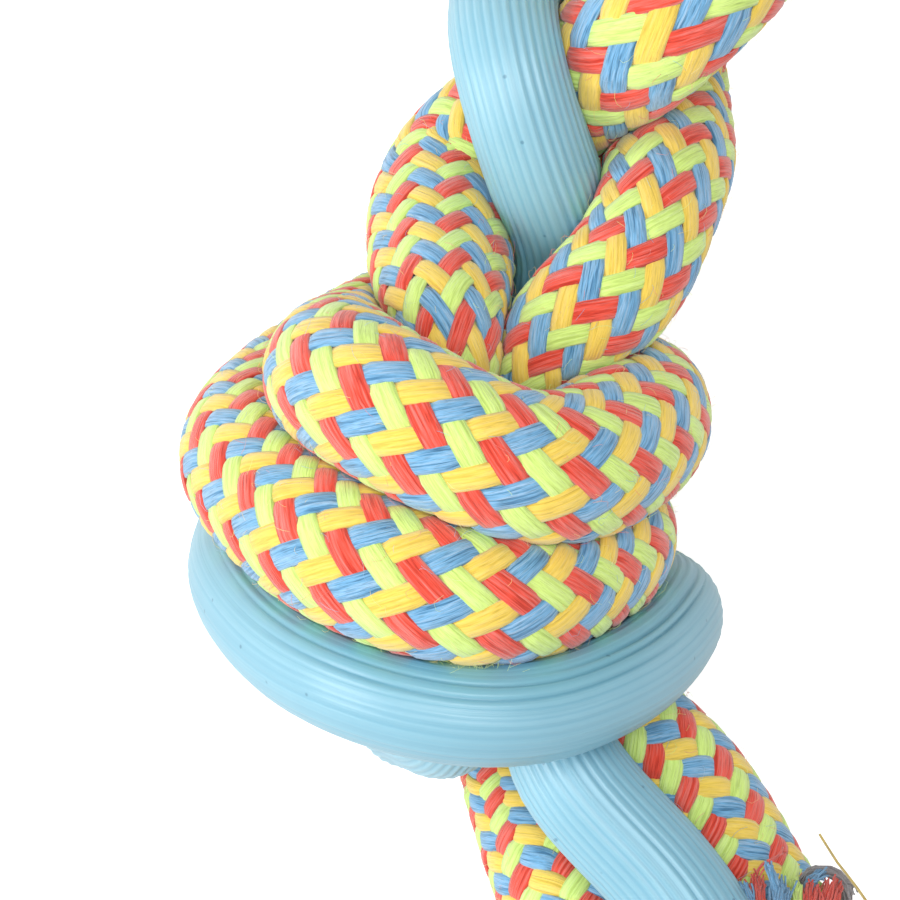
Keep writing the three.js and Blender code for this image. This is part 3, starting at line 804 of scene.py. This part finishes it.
# Locks at the first rope's end, as in the photograph: colour, yarns, thickness and the places on the way.

LOCKS = (
    ("grey", 46, 0.6, (
        (-147.1, -37.3, 40), (-144.6, -36.8, 42), (-143.1, -37.1, 43), (-142.2, -38.2, 44),
        (-142.2, -39.8, 44), (-142.9, -41.2, 43), (-144.3, -42.3, 41), (-146.8, -43.0, 38),
    )),
    ("grey", 24, 0.5, (
        (-145.4, -40.8, 41), (-143.2, -40.8, 43), (-142.8, -41.7, 43), (-143.6, -42.6, 41),
    )),
    ("blue", 34, 0.7, (
        (-149.8, -38.0, 43), (-146.6, -38.0, 45), (-143.6, -37.5, 46), (-142.7, -38.3, 46),
    )),
    ("red", 60, 1.0, (
        (-151.5, -38.5, 43), (-147.8, -38.0, 46), (-144.6, -37.6, 46.5),
    )),
    ("red", 80, 1.3, (
        (-151.7, -40.0, 43), (-147.2, -40.1, 46), (-143.9, -40.0, 46),
    )),
    ("blue", 70, 1.3, (
        (-152.7, -35.7, 46), (-148.6, -34.7, 48), (-145.4, -33.9, 48.5),
    )),
    ("blue", 24, 0.45, (
        (-146.9, -34.1, 48.5), (-144.9, -33.1, 49.5), (-143.1, -31.8, 49.5),
    )),
    ("red", 50, 0.9, (
        (-151.6, -33.0, 46.5), (-148.1, -32.0, 48), (-145.2, -31.0, 48.5),
    )),
    ("blue", 30, 0.6, (
        (-151.0, -32.9, 48), (-148.3, -31.3, 49), (-146.2, -29.8, 48.5),
    )),
    ("lime", 26, 0.5, (
        (-151.0, -37.9, 45), (-147.4, -36.9, 47), (-144.4, -35.8, 47),
    )),
    ("red", 3, 0.14, (
        (-140.7, -33.5, 46), (-142.1, -32.5, 48.2), (-143.3, -31.5, 49.2), (-144.5, -30.7, 49.2),
    )),
    ("gold", 1, 0, (
        (-156.4, -38.6, 44), (-151.4, -44.4, 48), (-145.5, -45.3, 50), (-142.9, -42.7, 51),
        (-140.6, -39.6, 52), (-137.9, -36.7, 53),
    )),
)
LOCK_FINENESS = 8
LOCK_RINGS = 14
LOCK_YARN_RADIUS = 0.17
LOCK_TIP_SHARE = 0.7
LOCK_WAVE = 0.3
LOCK_WAVE_ROWS = 1.5
GOLD_THREAD_RADIUS = 0.24


def loose_locks(yarns, chance):
    """The single locks, one piece for each colour."""
    paths = {}
    for colour, count, thickness, guides in LOCKS:
        curve = curve_through(np.array(guides, float), LOCK_FINENESS)[0]
        reached = distances_along(curve)
        middle = sampled(curve, reached, np.linspace(0, reached[-1], LOCK_RINGS))
        apart = unit(chance.normal(size=(count, 1, 3))) * chance.random((count, 1, 1)) ** (1 / 3)
        wave = np.stack([blurred(chance.normal(size=(LOCK_RINGS, 3)), LOCK_WAVE_ROWS) for k in range(count)])
        paths.setdefault(colour, []).append(middle[None] + thickness * apart + LOCK_WAVE * wave)
    for colour, bundles in paths.items():
        radius = GOLD_THREAD_RADIUS if colour == "gold" else LOCK_YARN_RADIUS
        slot = "rope_core" if colour == "grey" else "rope_braid_a"
        looks = (radius, LOCK_TIP_SHARE, YARN_SIDES, yarns[colour])
        thread_piece(f"loose_lock_{colour}", np.concatenate(bundles), *looks, slot)


# Lime fuzz that the second rope has left on the ring of tube beside it, and stray fibres on the ropes.

FIBRE_RADIUS = 0.017
FIBRE_SIDES = 4

FUZZ_FIBRES = 420
FUZZ_RINGS = 7
FUZZ_PLACES = ((-130.7, 10, 66.2), (-131.1, 7.5, 66.3), (-130.2, 5.2, 66.2))
FUZZ_SPREAD = (0.7, 0.7, 0.35)
FUZZ_LENGTHS = (0.6, 2.2)
FUZZ_HEADINGS = (1, 1, 0.4)

FIBRES_PER_COLOUR = 1200
FIBRE_RINGS = 4
FIBRE_LENGTHS = (0.6, 2.4)
FIBRE_HEIGHTS = (0.3, 1)
FIBRE_ROOT = -0.2
FIBRE_TURNING = 0.9
FIBRE_CURLS = (1.2, 3)


def lime_fuzz(material, chance):
    """A small patch of very fine curled fibres."""
    curve = curve_through(np.array(FUZZ_PLACES), RING_FINENESS)[0]
    start = curve[chance.integers(0, len(curve), FUZZ_FIBRES)][:, None]
    start = start + chance.normal(size=(FUZZ_FIBRES, 1, 3)) * FUZZ_SPREAD
    heading = unit(chance.normal(size=(FUZZ_FIBRES, 1, 3)) * FUZZ_HEADINGS)
    turning = unit(chance.normal(size=(FUZZ_FIBRES, 1, 3)) * FUZZ_HEADINGS)
    share = np.linspace(0, 1, FUZZ_RINGS)[None, :, None]
    length = chance.uniform(*FUZZ_LENGTHS, (FUZZ_FIBRES, 1, 1))
    paths = start + length * (heading * share + turning * share**2)
    thread_piece("lime_fuzz_on_tube", paths, FIBRE_RADIUS, 1, FIBRE_SIDES, material, "rope_braid_b")


def stray_fibres(line, letter, colour, material, chance):
    """Fine fibres that rise from a rope's yarns and bend back toward them."""
    count = FIBRES_PER_COLOUR
    ends = line["reached"][-1]
    share = np.linspace(0, 1, FIBRE_RINGS)[None]
    length = chance.uniform(*FIBRE_LENGTHS, (count, 1))
    heading = chance.uniform(0, 2 * math.pi, (count, 1)) + chance.normal(0, FIBRE_TURNING, (count, 1)) * share
    step = length * share
    distance = chance.uniform(COVER_END, ends - COVER_END, (count, 1)) + step * np.cos(heading)
    angle = chance.uniform(0, 2 * math.pi, (count, 1)) + step * np.sin(heading) / ROPE_SKIN[0]
    rise = chance.uniform(*FIBRE_HEIGHTS, (count, 1))
    height = FIBRE_ROOT + rise * np.sin(share * chance.uniform(*FIBRE_CURLS, (count, 1)))
    paths = skin_points(line, distance, angle, height)
    name = f"stray_fibres_{letter}_{colour}"
    thread_piece(name, paths, FIBRE_RADIUS, 1, FIBRE_SIDES, material, f"rope_braid_{letter}")


# The rubber tube, with fine ribs along it and an open bore at each end.

TUBE_RIBS = 36
CORNERS_PER_RIB = 5
RIB_HEIGHT = 0.18
TUBE_STEP = 2
TUBE_WALL = 2.3
BORE_DEPTH = 12
LIP = 0.5
LIP_RIB_SHARE = 0.3
END_RIB_SHARE = 0.6
RIB_UNEVEN_ROWS = 12
RIB_UNEVEN_STRENGTH = 1.2
RIB_OWN_UNEVEN_SHARE = 0.15
RIB_MOST_UNEVEN_SHARE = 0.5

# Where the tube rings the knot, its ribs are smoother, and creases are folded in on the side of the knot.
RING_STRETCH = (136, 248)
RING_EASING = 14
RING_RIB_SHARE = 0.3
KNOT_MIDDLE = (-108, 12)
CREASED_SIDE = (-0.3, 0.05)
CREASES = 22
CREASE_SCATTER_SHARE = 0.35
CREASE_DEPTH = 0.5
CREASE_WIDTH = 0.24
CREASE_ROWS = 9
CREASE_MIDDLE_SHARE = 0.6
CREASE_UNEVEN_STRENGTH = 3.5
CREASE_DEPTH_SHARES = (0.15, 1)

# How much painted shade the tube's colour gets: by the bend, which is smoothed over a length, darker on the
# inner side and paler as painted light on the outer side; or on the ring, darker on the side that faces the
# knot.
BEND_LENGTH = 8
BEND_SHADED = 0.9
UNBENT_PAINTED_SHADE = 0.4


def bending(line, distance, angle):
    """How sharply the tube bends toward that side of it, as a share of its radius."""
    bend = TUBE_RADIUS * blurred(np.gradient(line["along"], line["reached"], axis=0), BEND_LENGTH / SKIN_STEP)
    toward_side = np.interp(distance, line["reached"], (bend * line["side"]).sum(axis=1))
    toward_across = np.interp(distance, line["reached"], (bend * line["across"]).sum(axis=1))
    return toward_side * np.cos(angle) + toward_across * np.sin(angle)


def vectors_at(line, kind, distance):
    """The places or directions of a line at distances along it."""
    return np.stack([np.interp(distance, line["reached"], column) for column in line[kind].T], axis=-1)


def facing_knot(line, distance, angle):
    """How far that side of the tube faces the upright axis of the nearer knot, from -1 to 1."""
    place, side, across = (vectors_at(line, kind, distance) for kind in ("place", "side", "across"))
    direction = side * np.cos(angle)[..., None] + across * np.sin(angle)[..., None]
    middle_x, middle_y = KNOT_MIDDLE
    middle_x = middle_x * -np.sign(place[..., 0])
    toward = np.stack([middle_x - place[..., 0], middle_y - place[..., 1]], axis=-1)
    return (direction[..., :2] * unit(toward)).sum(axis=-1)


def tube_stations(length):
    """The tube's rings from bore to bore: distances along it, heights above its skin, shares of the ribs."""
    steps = round(length / TUBE_STEP)
    outside = [(length * k / steps, 0, 1) for k in range(steps + 1)]
    outside[0] = (LIP / 2, 0, END_RIB_SHARE)
    outside[-1] = (length - LIP / 2, 0, END_RIB_SHARE)
    start = [(BORE_DEPTH, -TUBE_RADIUS, 0), (BORE_DEPTH, -TUBE_WALL, 0), (BORE_DEPTH / 2, -TUBE_WALL, 0)]
    start += [(LIP, -TUBE_WALL, 0), (0, -TUBE_WALL + LIP, 0), (0, -LIP, LIP_RIB_SHARE)]
    end = [(length - distance, height, ribbed) for distance, height, ribbed in reversed(start)]
    return np.array(start + outside + end)


def uneven_ribs(rings, chance):
    """How much higher or lower each rib is than the others all along the tube."""
    uneven = blurred(chance.normal(size=(rings, TUBE_RIBS)), RIB_UNEVEN_ROWS) * RIB_UNEVEN_STRENGTH
    uneven = uneven + chance.normal(size=TUBE_RIBS) * RIB_OWN_UNEVEN_SHARE
    uneven = np.clip(uneven, -RIB_MOST_UNEVEN_SHARE, RIB_MOST_UNEVEN_SHARE)
    return np.repeat(uneven, CORNERS_PER_RIB, axis=1)


def crease_depths(facing, ringed, angle, chance):
    """How deeply the tube is creased all over, as shares of the deepest crease."""
    least, most = CREASED_SIDE
    folded = np.clip((facing - least) / (most - least), 0, 1) * ringed
    scatter = chance.uniform(-CREASE_SCATTER_SHARE, CREASE_SCATTER_SHARE, CREASES)
    creases = np.zeros_like(facing)
    for middle in 2 * math.pi * (np.arange(CREASES) + scatter) / CREASES:
        beside = (angle - middle + math.pi) % (2 * math.pi) - math.pi
        uneven = blurred(chance.normal(size=(len(facing), 1)), CREASE_ROWS)
        depth = np.clip(CREASE_MIDDLE_SHARE + CREASE_UNEVEN_STRENGTH * uneven, *CREASE_DEPTH_SHARES)
        creases += folded * depth * np.exp(-((beside * TUBE_RADIUS / CREASE_WIDTH) ** 2))[None]
    return creases


def ribbed_tube(line, material, node, chance):
    """The tube as one closed skin, which also lines the bore at each end."""
    length = line["reached"][-1]
    stations = tube_stations(length)
    corners = TUBE_RIBS * CORNERS_PER_RIB
    angle = 2 * math.pi * np.arange(corners) / corners
    distance = np.repeat(stations[:, 0:1], corners, axis=1)
    angles = np.repeat(angle[None], len(stations), axis=0)
    from_end = np.minimum(distance, length - distance)
    ring_start, ring_end = RING_STRETCH
    ringed = np.clip(np.minimum(from_end - ring_start, ring_end - from_end) / RING_EASING, 0, 1)
    ribs = shared_between(1, RING_RIB_SHARE, ringed) * (1 + uneven_ribs(len(stations), chance))
    facing = facing_knot(line, distance, angles)
    creases = crease_depths(facing, ringed, angle, chance)
    relief = ribs * np.cos(angle * TUBE_RIBS) * RIB_HEIGHT / 2 - creases * CREASE_DEPTH
    height = stations[:, 1:2] + stations[:, 2:3] * relief
    points = skin_points(line, distance, angles, height)
    uv = np.stack([angles / (2 * math.pi), distance / UV_LENGTH], axis=2)
    # Painted shade: darker on the inner side of bends and on the ring's side toward the knot, and painted
    # light on the outer side of bends.
    by_bend = UNBENT_PAINTED_SHADE + bending(line, distance, angles) / BEND_SHADED
    by_knot = np.maximum((1 + facing) / 2, UNBENT_PAINTED_SHADE)
    painted_shade = np.clip(shared_between(by_bend, by_knot, ringed), 0, 1)
    marks = {"painted_shade": painted_shade, "rib": ribs, "crease": np.clip(creases, 0, 1)}
    faces = swept_faces(len(stations), corners)
    places, uv = points.reshape(-1, 3), uv.reshape(-1, 2)
    new_piece("chew_tube_ribbed", places, faces, uv, material, "tube_rubber", (node,), **marks)


# Materials. Streaks are given as their scale along each axis, their detail and their distortion.

WHITE = (1, 1, 1)

# The yarns: colour, and how strongly the plies and fibres in it stand out, with their painted shade and
# painted highlight.
YARN_LOOKS = {
    "lime": ((0.70, 0.92, 0.24), 0.5),
    "red": ((0.87, 0.085, 0.05), 0.7),
    "yellow": ((0.95, 0.67, 0.11), 0.45),
    "blue": ((0.19, 0.45, 0.72), 1),
    "grey": ((0.40, 0.37, 0.38), 0.9),
    "gold": ((0.62, 0.45, 0.12), 0.75),
}
PLY_STREAKS = ((9, 1.5, 1), 2, 0.5)
PLY_STOPS = (0.32, 0.47, 0.7)
PLY_HEIGHT = 0.4
# Painted shade in the grooves between the plies, and painted highlight on their crests.
PLY_PAINTED_SHADE_SHARE = 0.6
PLY_PAINTED_SHADE_POWER = 1.3
PLY_PAINTED_LIGHT_SHARE = 0.2
# Finer fibres along the plies, with painted shade between them.
FINE_STREAKS = ((34, 6, 1), 4, 0.3)
FINE_STOPS = (0.34, 0.54)
FINE_PAINTED_SHADE = (0.6, 0.6, 0.6)
FINE_HEIGHT = 0.18
YARN_BUMP = 0.5
# Painted shade along both edges of each tow, where it dips beside its neighbours.
EDGE_PAINTED_SHADE_STOPS = (0, 0.12, 0.88, 1)
EDGE_PAINTED_SHADE = (0.74, 0.74, 0.74)
EDGE_PAINTED_SHADE_SHARE = 0.5
YARN_FINISH = {"Roughness": 0.9, "Specular IOR Level": 0.12, "Sheen Weight": 0.5, "Sheen Roughness": 0.5}

# The loose fibres.
FIBRE_STREAKS = ((1, 2, 1), 1, 0)
FIBRE_STOPS = (0.4, 0.6)
# Painted light: the loose fibres are painted paler than their yarn.
FIBRE_PAINTED_LIGHT_SHARE = 0.25
FIBRE_FINISH = {"Roughness": 0.8, "Sheen Weight": 0.6}

# The rubber: its own colour, its painted light and painted shade, and shades that darken it: specks and
# clouds of its own, painted shade in the rib grooves and the creases, and fine streaks.
RUBBER_LIGHT = (0.262, 0.5, 0.612)
RUBBER_PAINTED_SHADE = (0.195, 0.44, 0.54)
RUBBER_PAINTED_LIGHT = (0.3, 0.545, 0.652)
PAINTED_SHADE_STOPS = (0.15, UNBENT_PAINTED_SHADE, 0.68)
SPECK_SCALE = 260
SPECK_STOPS = (0.045, 0.085)
SPECK_SHADE = (0.55, 0.62, 0.68)
CLOUD_SCALE = 60
CLOUD_DETAIL = 3
CLOUD_STOPS = (0.35, 0.65)
CLOUD_SHADE = (0.93, 0.95, 0.96)
# Painted shade in the grooves between the ribs, as strong as the ribs are high.
GROOVE_PAINTED_SHADE_STOPS = (0, 0.42)
GROOVE_PAINTED_SHADE = (0.77, 0.88, 0.92)
# Fine uneven darker streaks along the tube, which are also raised as a bump.
TUBE_STREAKS = ((2.2 * TUBE_RIBS, 0.14, 1), 2, 0)
TUBE_STREAK_STOPS = (0.38, 0.52)
TUBE_STREAK_SHADE = (0.74, 0.84, 0.88)
TUBE_STREAK_SHARE = 0.4
TUBE_STREAK_HEIGHT = 0.3
TUBE_STREAK_BUMP = 0.3
# Painted shade in the creases.
CREASE_PAINTED_SHADE_STOPS = (0.1, 0.8)
CREASE_PAINTED_SHADE = (0.45, 0.66, 0.72)
RUBBER_FINISH = {
    "Roughness": 0.36,
    "Specular IOR Level": 0.5,
    "Subsurface Weight": 0.15,
    "Subsurface Scale": 4 * MM,
    "Subsurface Radius": (0.6, 0.9, 1.0),
}

# A wave texture of scale 1 turns through this many radians over one unit.
WAVE_TURN = 20


def new_material(name):
    """A node material, with its nodes, its links and its shader."""
    material = bpy.data.materials.new(name)
    material.use_nodes = True
    nodes = material.node_tree.nodes
    return material, nodes, material.node_tree.links, nodes["Principled BSDF"]


def added(nodes, kind, **settings):
    """A node of that kind with these settings."""
    node = nodes.new(kind)
    for key, value in settings.items():
        setattr(node, key, value)
    return node


def set_inputs(node, values):
    """Sets inputs of a node to constant values."""
    for name, value in values.items():
        node.inputs[name].default_value = value


def ramp(nodes, links, source, positions, colours):
    """A colour ramp over a value, with these colours at these positions."""
    node = added(nodes, "ShaderNodeValToRGB")
    elements = node.color_ramp.elements
    while len(elements) < len(positions):
        elements.new(0.5)
    for element, position, colour in zip(elements, positions, colours):
        element.position = position
        element.color = (*colour, 1)
    links.new(source, node.inputs["Fac"])
    return node.outputs["Color"]


def streaks(nodes, links, uv, scale, detail, distortion):
    """Irregular streaks along a strand: a noise drawn out along it."""
    place = added(nodes, "ShaderNodeMapping")
    set_inputs(place, {"Scale": scale})
    links.new(uv, place.inputs["Vector"])
    noise = added(nodes, "ShaderNodeTexNoise")
    set_inputs(noise, {"Scale": 1, "Detail": detail, "Distortion": distortion})
    links.new(place.outputs["Vector"], noise.inputs["Vector"])
    return noise.outputs["Fac"]


def multiplied(nodes, links, first, second, share):
    """Two colours multiplied, the second one by a share, which is a number or comes from a socket."""
    node = added(nodes, "ShaderNodeMixRGB", blend_type="MULTIPLY")
    if isinstance(share, (int, float)):
        node.inputs["Fac"].default_value = share
    else:
        links.new(share, node.inputs["Fac"])
    links.new(first, node.inputs["Color1"])
    links.new(second, node.inputs["Color2"])
    return node.outputs["Color"]


def raised(nodes, links, height, strength, distance, below=None):
    """A bump from a height, on top of another bump."""
    bump = added(nodes, "ShaderNodeBump")
    set_inputs(bump, {"Strength": strength, "Distance": distance})
    links.new(height, bump.inputs["Height"])
    if below is not None:
        links.new(below, bump.inputs["Normal"])
    return bump.outputs["Normal"]


def yarn(name, light, contrast):
    """Soft spun yarn: plies that run along the tow, with painted shade in their grooves and painted highlight
    on their crests, finer fibres on them with painted shade between them, and painted shade at the tow's
    edges.
    """
    material, nodes, links, shader = new_material(name)
    uv = added(nodes, "ShaderNodeUVMap", uv_map="UVMap").outputs["UV"]
    plies = streaks(nodes, links, uv, *PLY_STREAKS)
    hairs = streaks(nodes, links, uv, *FINE_STREAKS)
    # The plies' tone varies along them: its darker end is painted shade in the grooves, and its paler end is
    # painted highlight on the crests.
    painted_shade = [shared_between(channel, PLY_PAINTED_SHADE_SHARE * channel**PLY_PAINTED_SHADE_POWER, contrast) for channel in light]
    painted_light = [channel + PLY_PAINTED_LIGHT_SHARE * contrast * (1 - channel) for channel in light]
    colour = ramp(nodes, links, plies, PLY_STOPS, (painted_shade, light, painted_light))
    # Painted shade between the fine fibres.
    fine = ramp(nodes, links, hairs, FINE_STOPS, (FINE_PAINTED_SHADE, WHITE))
    colour = multiplied(nodes, links, colour, fine, contrast)
    # Painted shade at the tow's edges.
    across = added(nodes, "ShaderNodeSeparateXYZ")
    links.new(uv, across.inputs["Vector"])
    edge_painted_shade = ramp(nodes, links, across.outputs["X"], EDGE_PAINTED_SHADE_STOPS, (EDGE_PAINTED_SHADE, WHITE, WHITE, EDGE_PAINTED_SHADE))
    colour = multiplied(nodes, links, colour, edge_painted_shade, EDGE_PAINTED_SHADE_SHARE)
    links.new(colour, shader.inputs["Base Color"])
    ply_bump = raised(nodes, links, plies, YARN_BUMP, PLY_HEIGHT * MM)
    bump = raised(nodes, links, hairs, YARN_BUMP, FINE_HEIGHT * MM, ply_bump)
    links.new(bump, shader.inputs["Normal"])
    set_inputs(shader, YARN_FINISH)
    return material


def loose_fibre(name, light):
    """The same yarn as single fibres, painted paler than it as painted light."""
    material, nodes, links, shader = new_material(name)
    uv = added(nodes, "ShaderNodeUVMap", uv_map="UVMap").outputs["UV"]
    painted_light = [channel + FIBRE_PAINTED_LIGHT_SHARE * (1 - channel) for channel in light]
    colour = ramp(nodes, links, streaks(nodes, links, uv, *FIBRE_STREAKS), FIBRE_STOPS, (light, painted_light))
    links.new(colour, shader.inputs["Base Color"])
    set_inputs(shader, FIBRE_FINISH)
    return material


def rubber():
    """Soft pale blue rubber: painted shade on the inner side of bends and on the ring's side toward the knot,
    painted light on the outer side of bends, painted shade in rib grooves and creases, with few specks.
    """
    material, nodes, links, shader = new_material("pale_blue_rubber")
    uv = added(nodes, "ShaderNodeUVMap", uv_map="UVMap").outputs["UV"]
    place = added(nodes, "ShaderNodeTexCoord").outputs["Object"]
    painted_shade, rib, crease = (
        added(nodes, "ShaderNodeAttribute", attribute_name=mark).outputs["Fac"]
        for mark in ("painted_shade", "rib", "crease")
    )
    specks = added(nodes, "ShaderNodeTexVoronoi")
    set_inputs(specks, {"Scale": SPECK_SCALE})
    links.new(place, specks.inputs["Vector"])
    cloud = added(nodes, "ShaderNodeTexNoise")
    set_inputs(cloud, {"Scale": CLOUD_SCALE, "Detail": CLOUD_DETAIL})
    links.new(place, cloud.inputs["Vector"])
    ribs = added(nodes, "ShaderNodeTexWave", wave_type="BANDS", bands_direction="X", wave_profile="SIN")
    set_inputs(ribs, {"Scale": 2 * math.pi * TUBE_RIBS / WAVE_TURN, "Phase Offset": math.pi})
    links.new(uv, ribs.inputs["Vector"])
    tube_streaks = streaks(nodes, links, uv, *TUBE_STREAKS)
    # Specks and clouds are the rubber's own; the grooves and creases get painted shade.
    shades = (
        (specks.outputs["Distance"], SPECK_STOPS, (SPECK_SHADE, WHITE), 1),
        (cloud.outputs["Fac"], CLOUD_STOPS, (CLOUD_SHADE, WHITE), 1),
        (ribs.outputs["Fac"], GROOVE_PAINTED_SHADE_STOPS, (GROOVE_PAINTED_SHADE, WHITE), rib),
        (tube_streaks, TUBE_STREAK_STOPS, (TUBE_STREAK_SHADE, WHITE), TUBE_STREAK_SHARE),
        (crease, CREASE_PAINTED_SHADE_STOPS, (WHITE, CREASE_PAINTED_SHADE), 1),
    )
    # The tube's colour, with painted light and painted shade from the bend and the knot.
    colour = ramp(nodes, links, painted_shade, PAINTED_SHADE_STOPS, (RUBBER_PAINTED_LIGHT, RUBBER_LIGHT, RUBBER_PAINTED_SHADE))
    for source, positions, colours, share in shades:
        shade = ramp(nodes, links, source, positions, colours)
        colour = multiplied(nodes, links, colour, shade, share)
    links.new(colour, shader.inputs["Base Color"])
    bump = raised(nodes, links, tube_streaks, TUBE_STREAK_BUMP, TUBE_STREAK_HEIGHT * MM)
    links.new(bump, shader.inputs["Normal"])
    set_inputs(shader, RUBBER_FINISH)
    return material


# The pieces, made from the same seed each run.

yarns = {colour: yarn(f"{colour}_yarn", *look) for colour, look in YARN_LOOKS.items()}
fibres = {colour: loose_fibre(f"{colour}_fibre", YARN_LOOKS[colour][0]) for colour, _, _ in WINDINGS}
chance = np.random.default_rng(7)

for rope, letter in ((rope_a, "a"), (rope_b, "b")):
    braid(rope, letter, yarns, chance)
    rope_core(rope, letter, yarns["grey"])
    for end in (1, 2):
        frayed_end(rope, letter, end, yarns, chance)
    for colour, material in fibres.items():
        stray_fibres(rope, letter, colour, material, chance)
loose_locks(yarns, chance)
lime_fuzz(fibres["lime"], chance)
ribbed_tube(tube, rubber(), "chew_tube", chance)


# The camera, straight above the first knot as the photograph was taken.

PICTURE_WIDTH = 104.4
PICTURE_MIDDLE = (-106.32, 17.87)
PICTURE_TURN = math.radians(16)
CAMERA_DISTANCE = 1000
SCALE_HEIGHT = 70
SENSOR = 36
NEAREST_SEEN = 50
FARTHEST_SEEN = 10000

camera_data = bpy.data.cameras.new("camera")
camera_data.sensor_width = SENSOR
camera_data.lens = SENSOR * CAMERA_DISTANCE / PICTURE_WIDTH
camera_data.clip_start = NEAREST_SEEN * MM
camera_data.clip_end = FARTHEST_SEEN * MM
camera = bpy.data.objects.new("camera", camera_data)
bpy.context.scene.collection.objects.link(camera)
bpy.context.scene.camera = camera
right = Vector((math.sin(PICTURE_TURN), -math.cos(PICTURE_TURN), 0))
up = Vector((math.cos(PICTURE_TURN), math.sin(PICTURE_TURN), 0))
turn = Matrix((right, up, right.cross(up))).transposed().to_4x4()
where = Vector((*PICTURE_MIDDLE, SCALE_HEIGHT + CAMERA_DISTANCE)) * MM
camera.matrix_world = Matrix.Translation(where) @ turn


# The floor and the lights. Lengths are in metres from here, and the lamps' places are from the first knot.

FLOOR_SIZE = 4
FLOOR_DROP = 0.0005
FLOOR_FINISH = {"Base Color": (0.9, 0.9, 0.9, 1), "Roughness": 0.9}
FLOOR_GLOW = 0.55
KNOT = Vector((-0.106, 0.018, 0.05))
LAMP_SIZE = 0.6
WINDOW_LEFTWARD = 0.85
WINDOW_DOWNWARD = 0.2
WINDOW_ABOVE = Vector((0, 0, 0.5))
WINDOW_POWER = 7
OVERHEAD_ABOVE = Vector((0.05, 0, 0.95))
OVERHEAD_POWER = 5.7
SKY_STRENGTH = 0.5


def lamp(name, place, power):
    """A square soft lamp at a place, facing the first knot."""
    data = bpy.data.lights.new(name, "AREA")
    data.energy = power
    data.size = LAMP_SIZE
    light = bpy.data.objects.new(name, data)
    light.location = place
    light.rotation_euler = (KNOT - place).to_track_quat("-Z", "Y").to_euler()
    bpy.context.scene.collection.objects.link(light)


bpy.ops.object.select_all(action="DESELECT")
bpy.ops.mesh.primitive_plane_add(size=FLOOR_SIZE, location=(0, 0, -FLOOR_DROP))
floor = bpy.context.object
floor.name = "floor"
paper, nodes, links, shader = new_material("white_paper")
set_inputs(shader, FLOOR_FINISH)
glow = added(nodes, "ShaderNodeEmission")
set_inputs(glow, {"Strength": FLOOR_GLOW})
seen = added(nodes, "ShaderNodeLightPath")
glow_seen = added(nodes, "ShaderNodeMixShader")
sum_shader = added(nodes, "ShaderNodeAddShader")
links.new(shader.outputs["BSDF"], sum_shader.inputs[0])
links.new(glow.outputs["Emission"], sum_shader.inputs[1])
links.new(seen.outputs["Is Camera Ray"], glow_seen.inputs["Fac"])
links.new(shader.outputs["BSDF"], glow_seen.inputs[1])
links.new(sum_shader.outputs["Shader"], glow_seen.inputs[2])
links.new(glow_seen.outputs["Shader"], nodes["Material Output"].inputs["Surface"])
floor.data.materials.append(paper)

lamp("window_left", KNOT - right * WINDOW_LEFTWARD - up * WINDOW_DOWNWARD + WINDOW_ABOVE, WINDOW_POWER)
lamp("overhead", KNOT + OVERHEAD_ABOVE, OVERHEAD_POWER)
world = bpy.data.worlds.new("studio")
bpy.context.scene.world = world
world.use_nodes = True
set_inputs(world.node_tree.nodes["Background"], {"Color": (*WHITE, 1), "Strength": SKY_STRENGTH})

bpy.context.scene.view_settings.view_transform = "Standard"
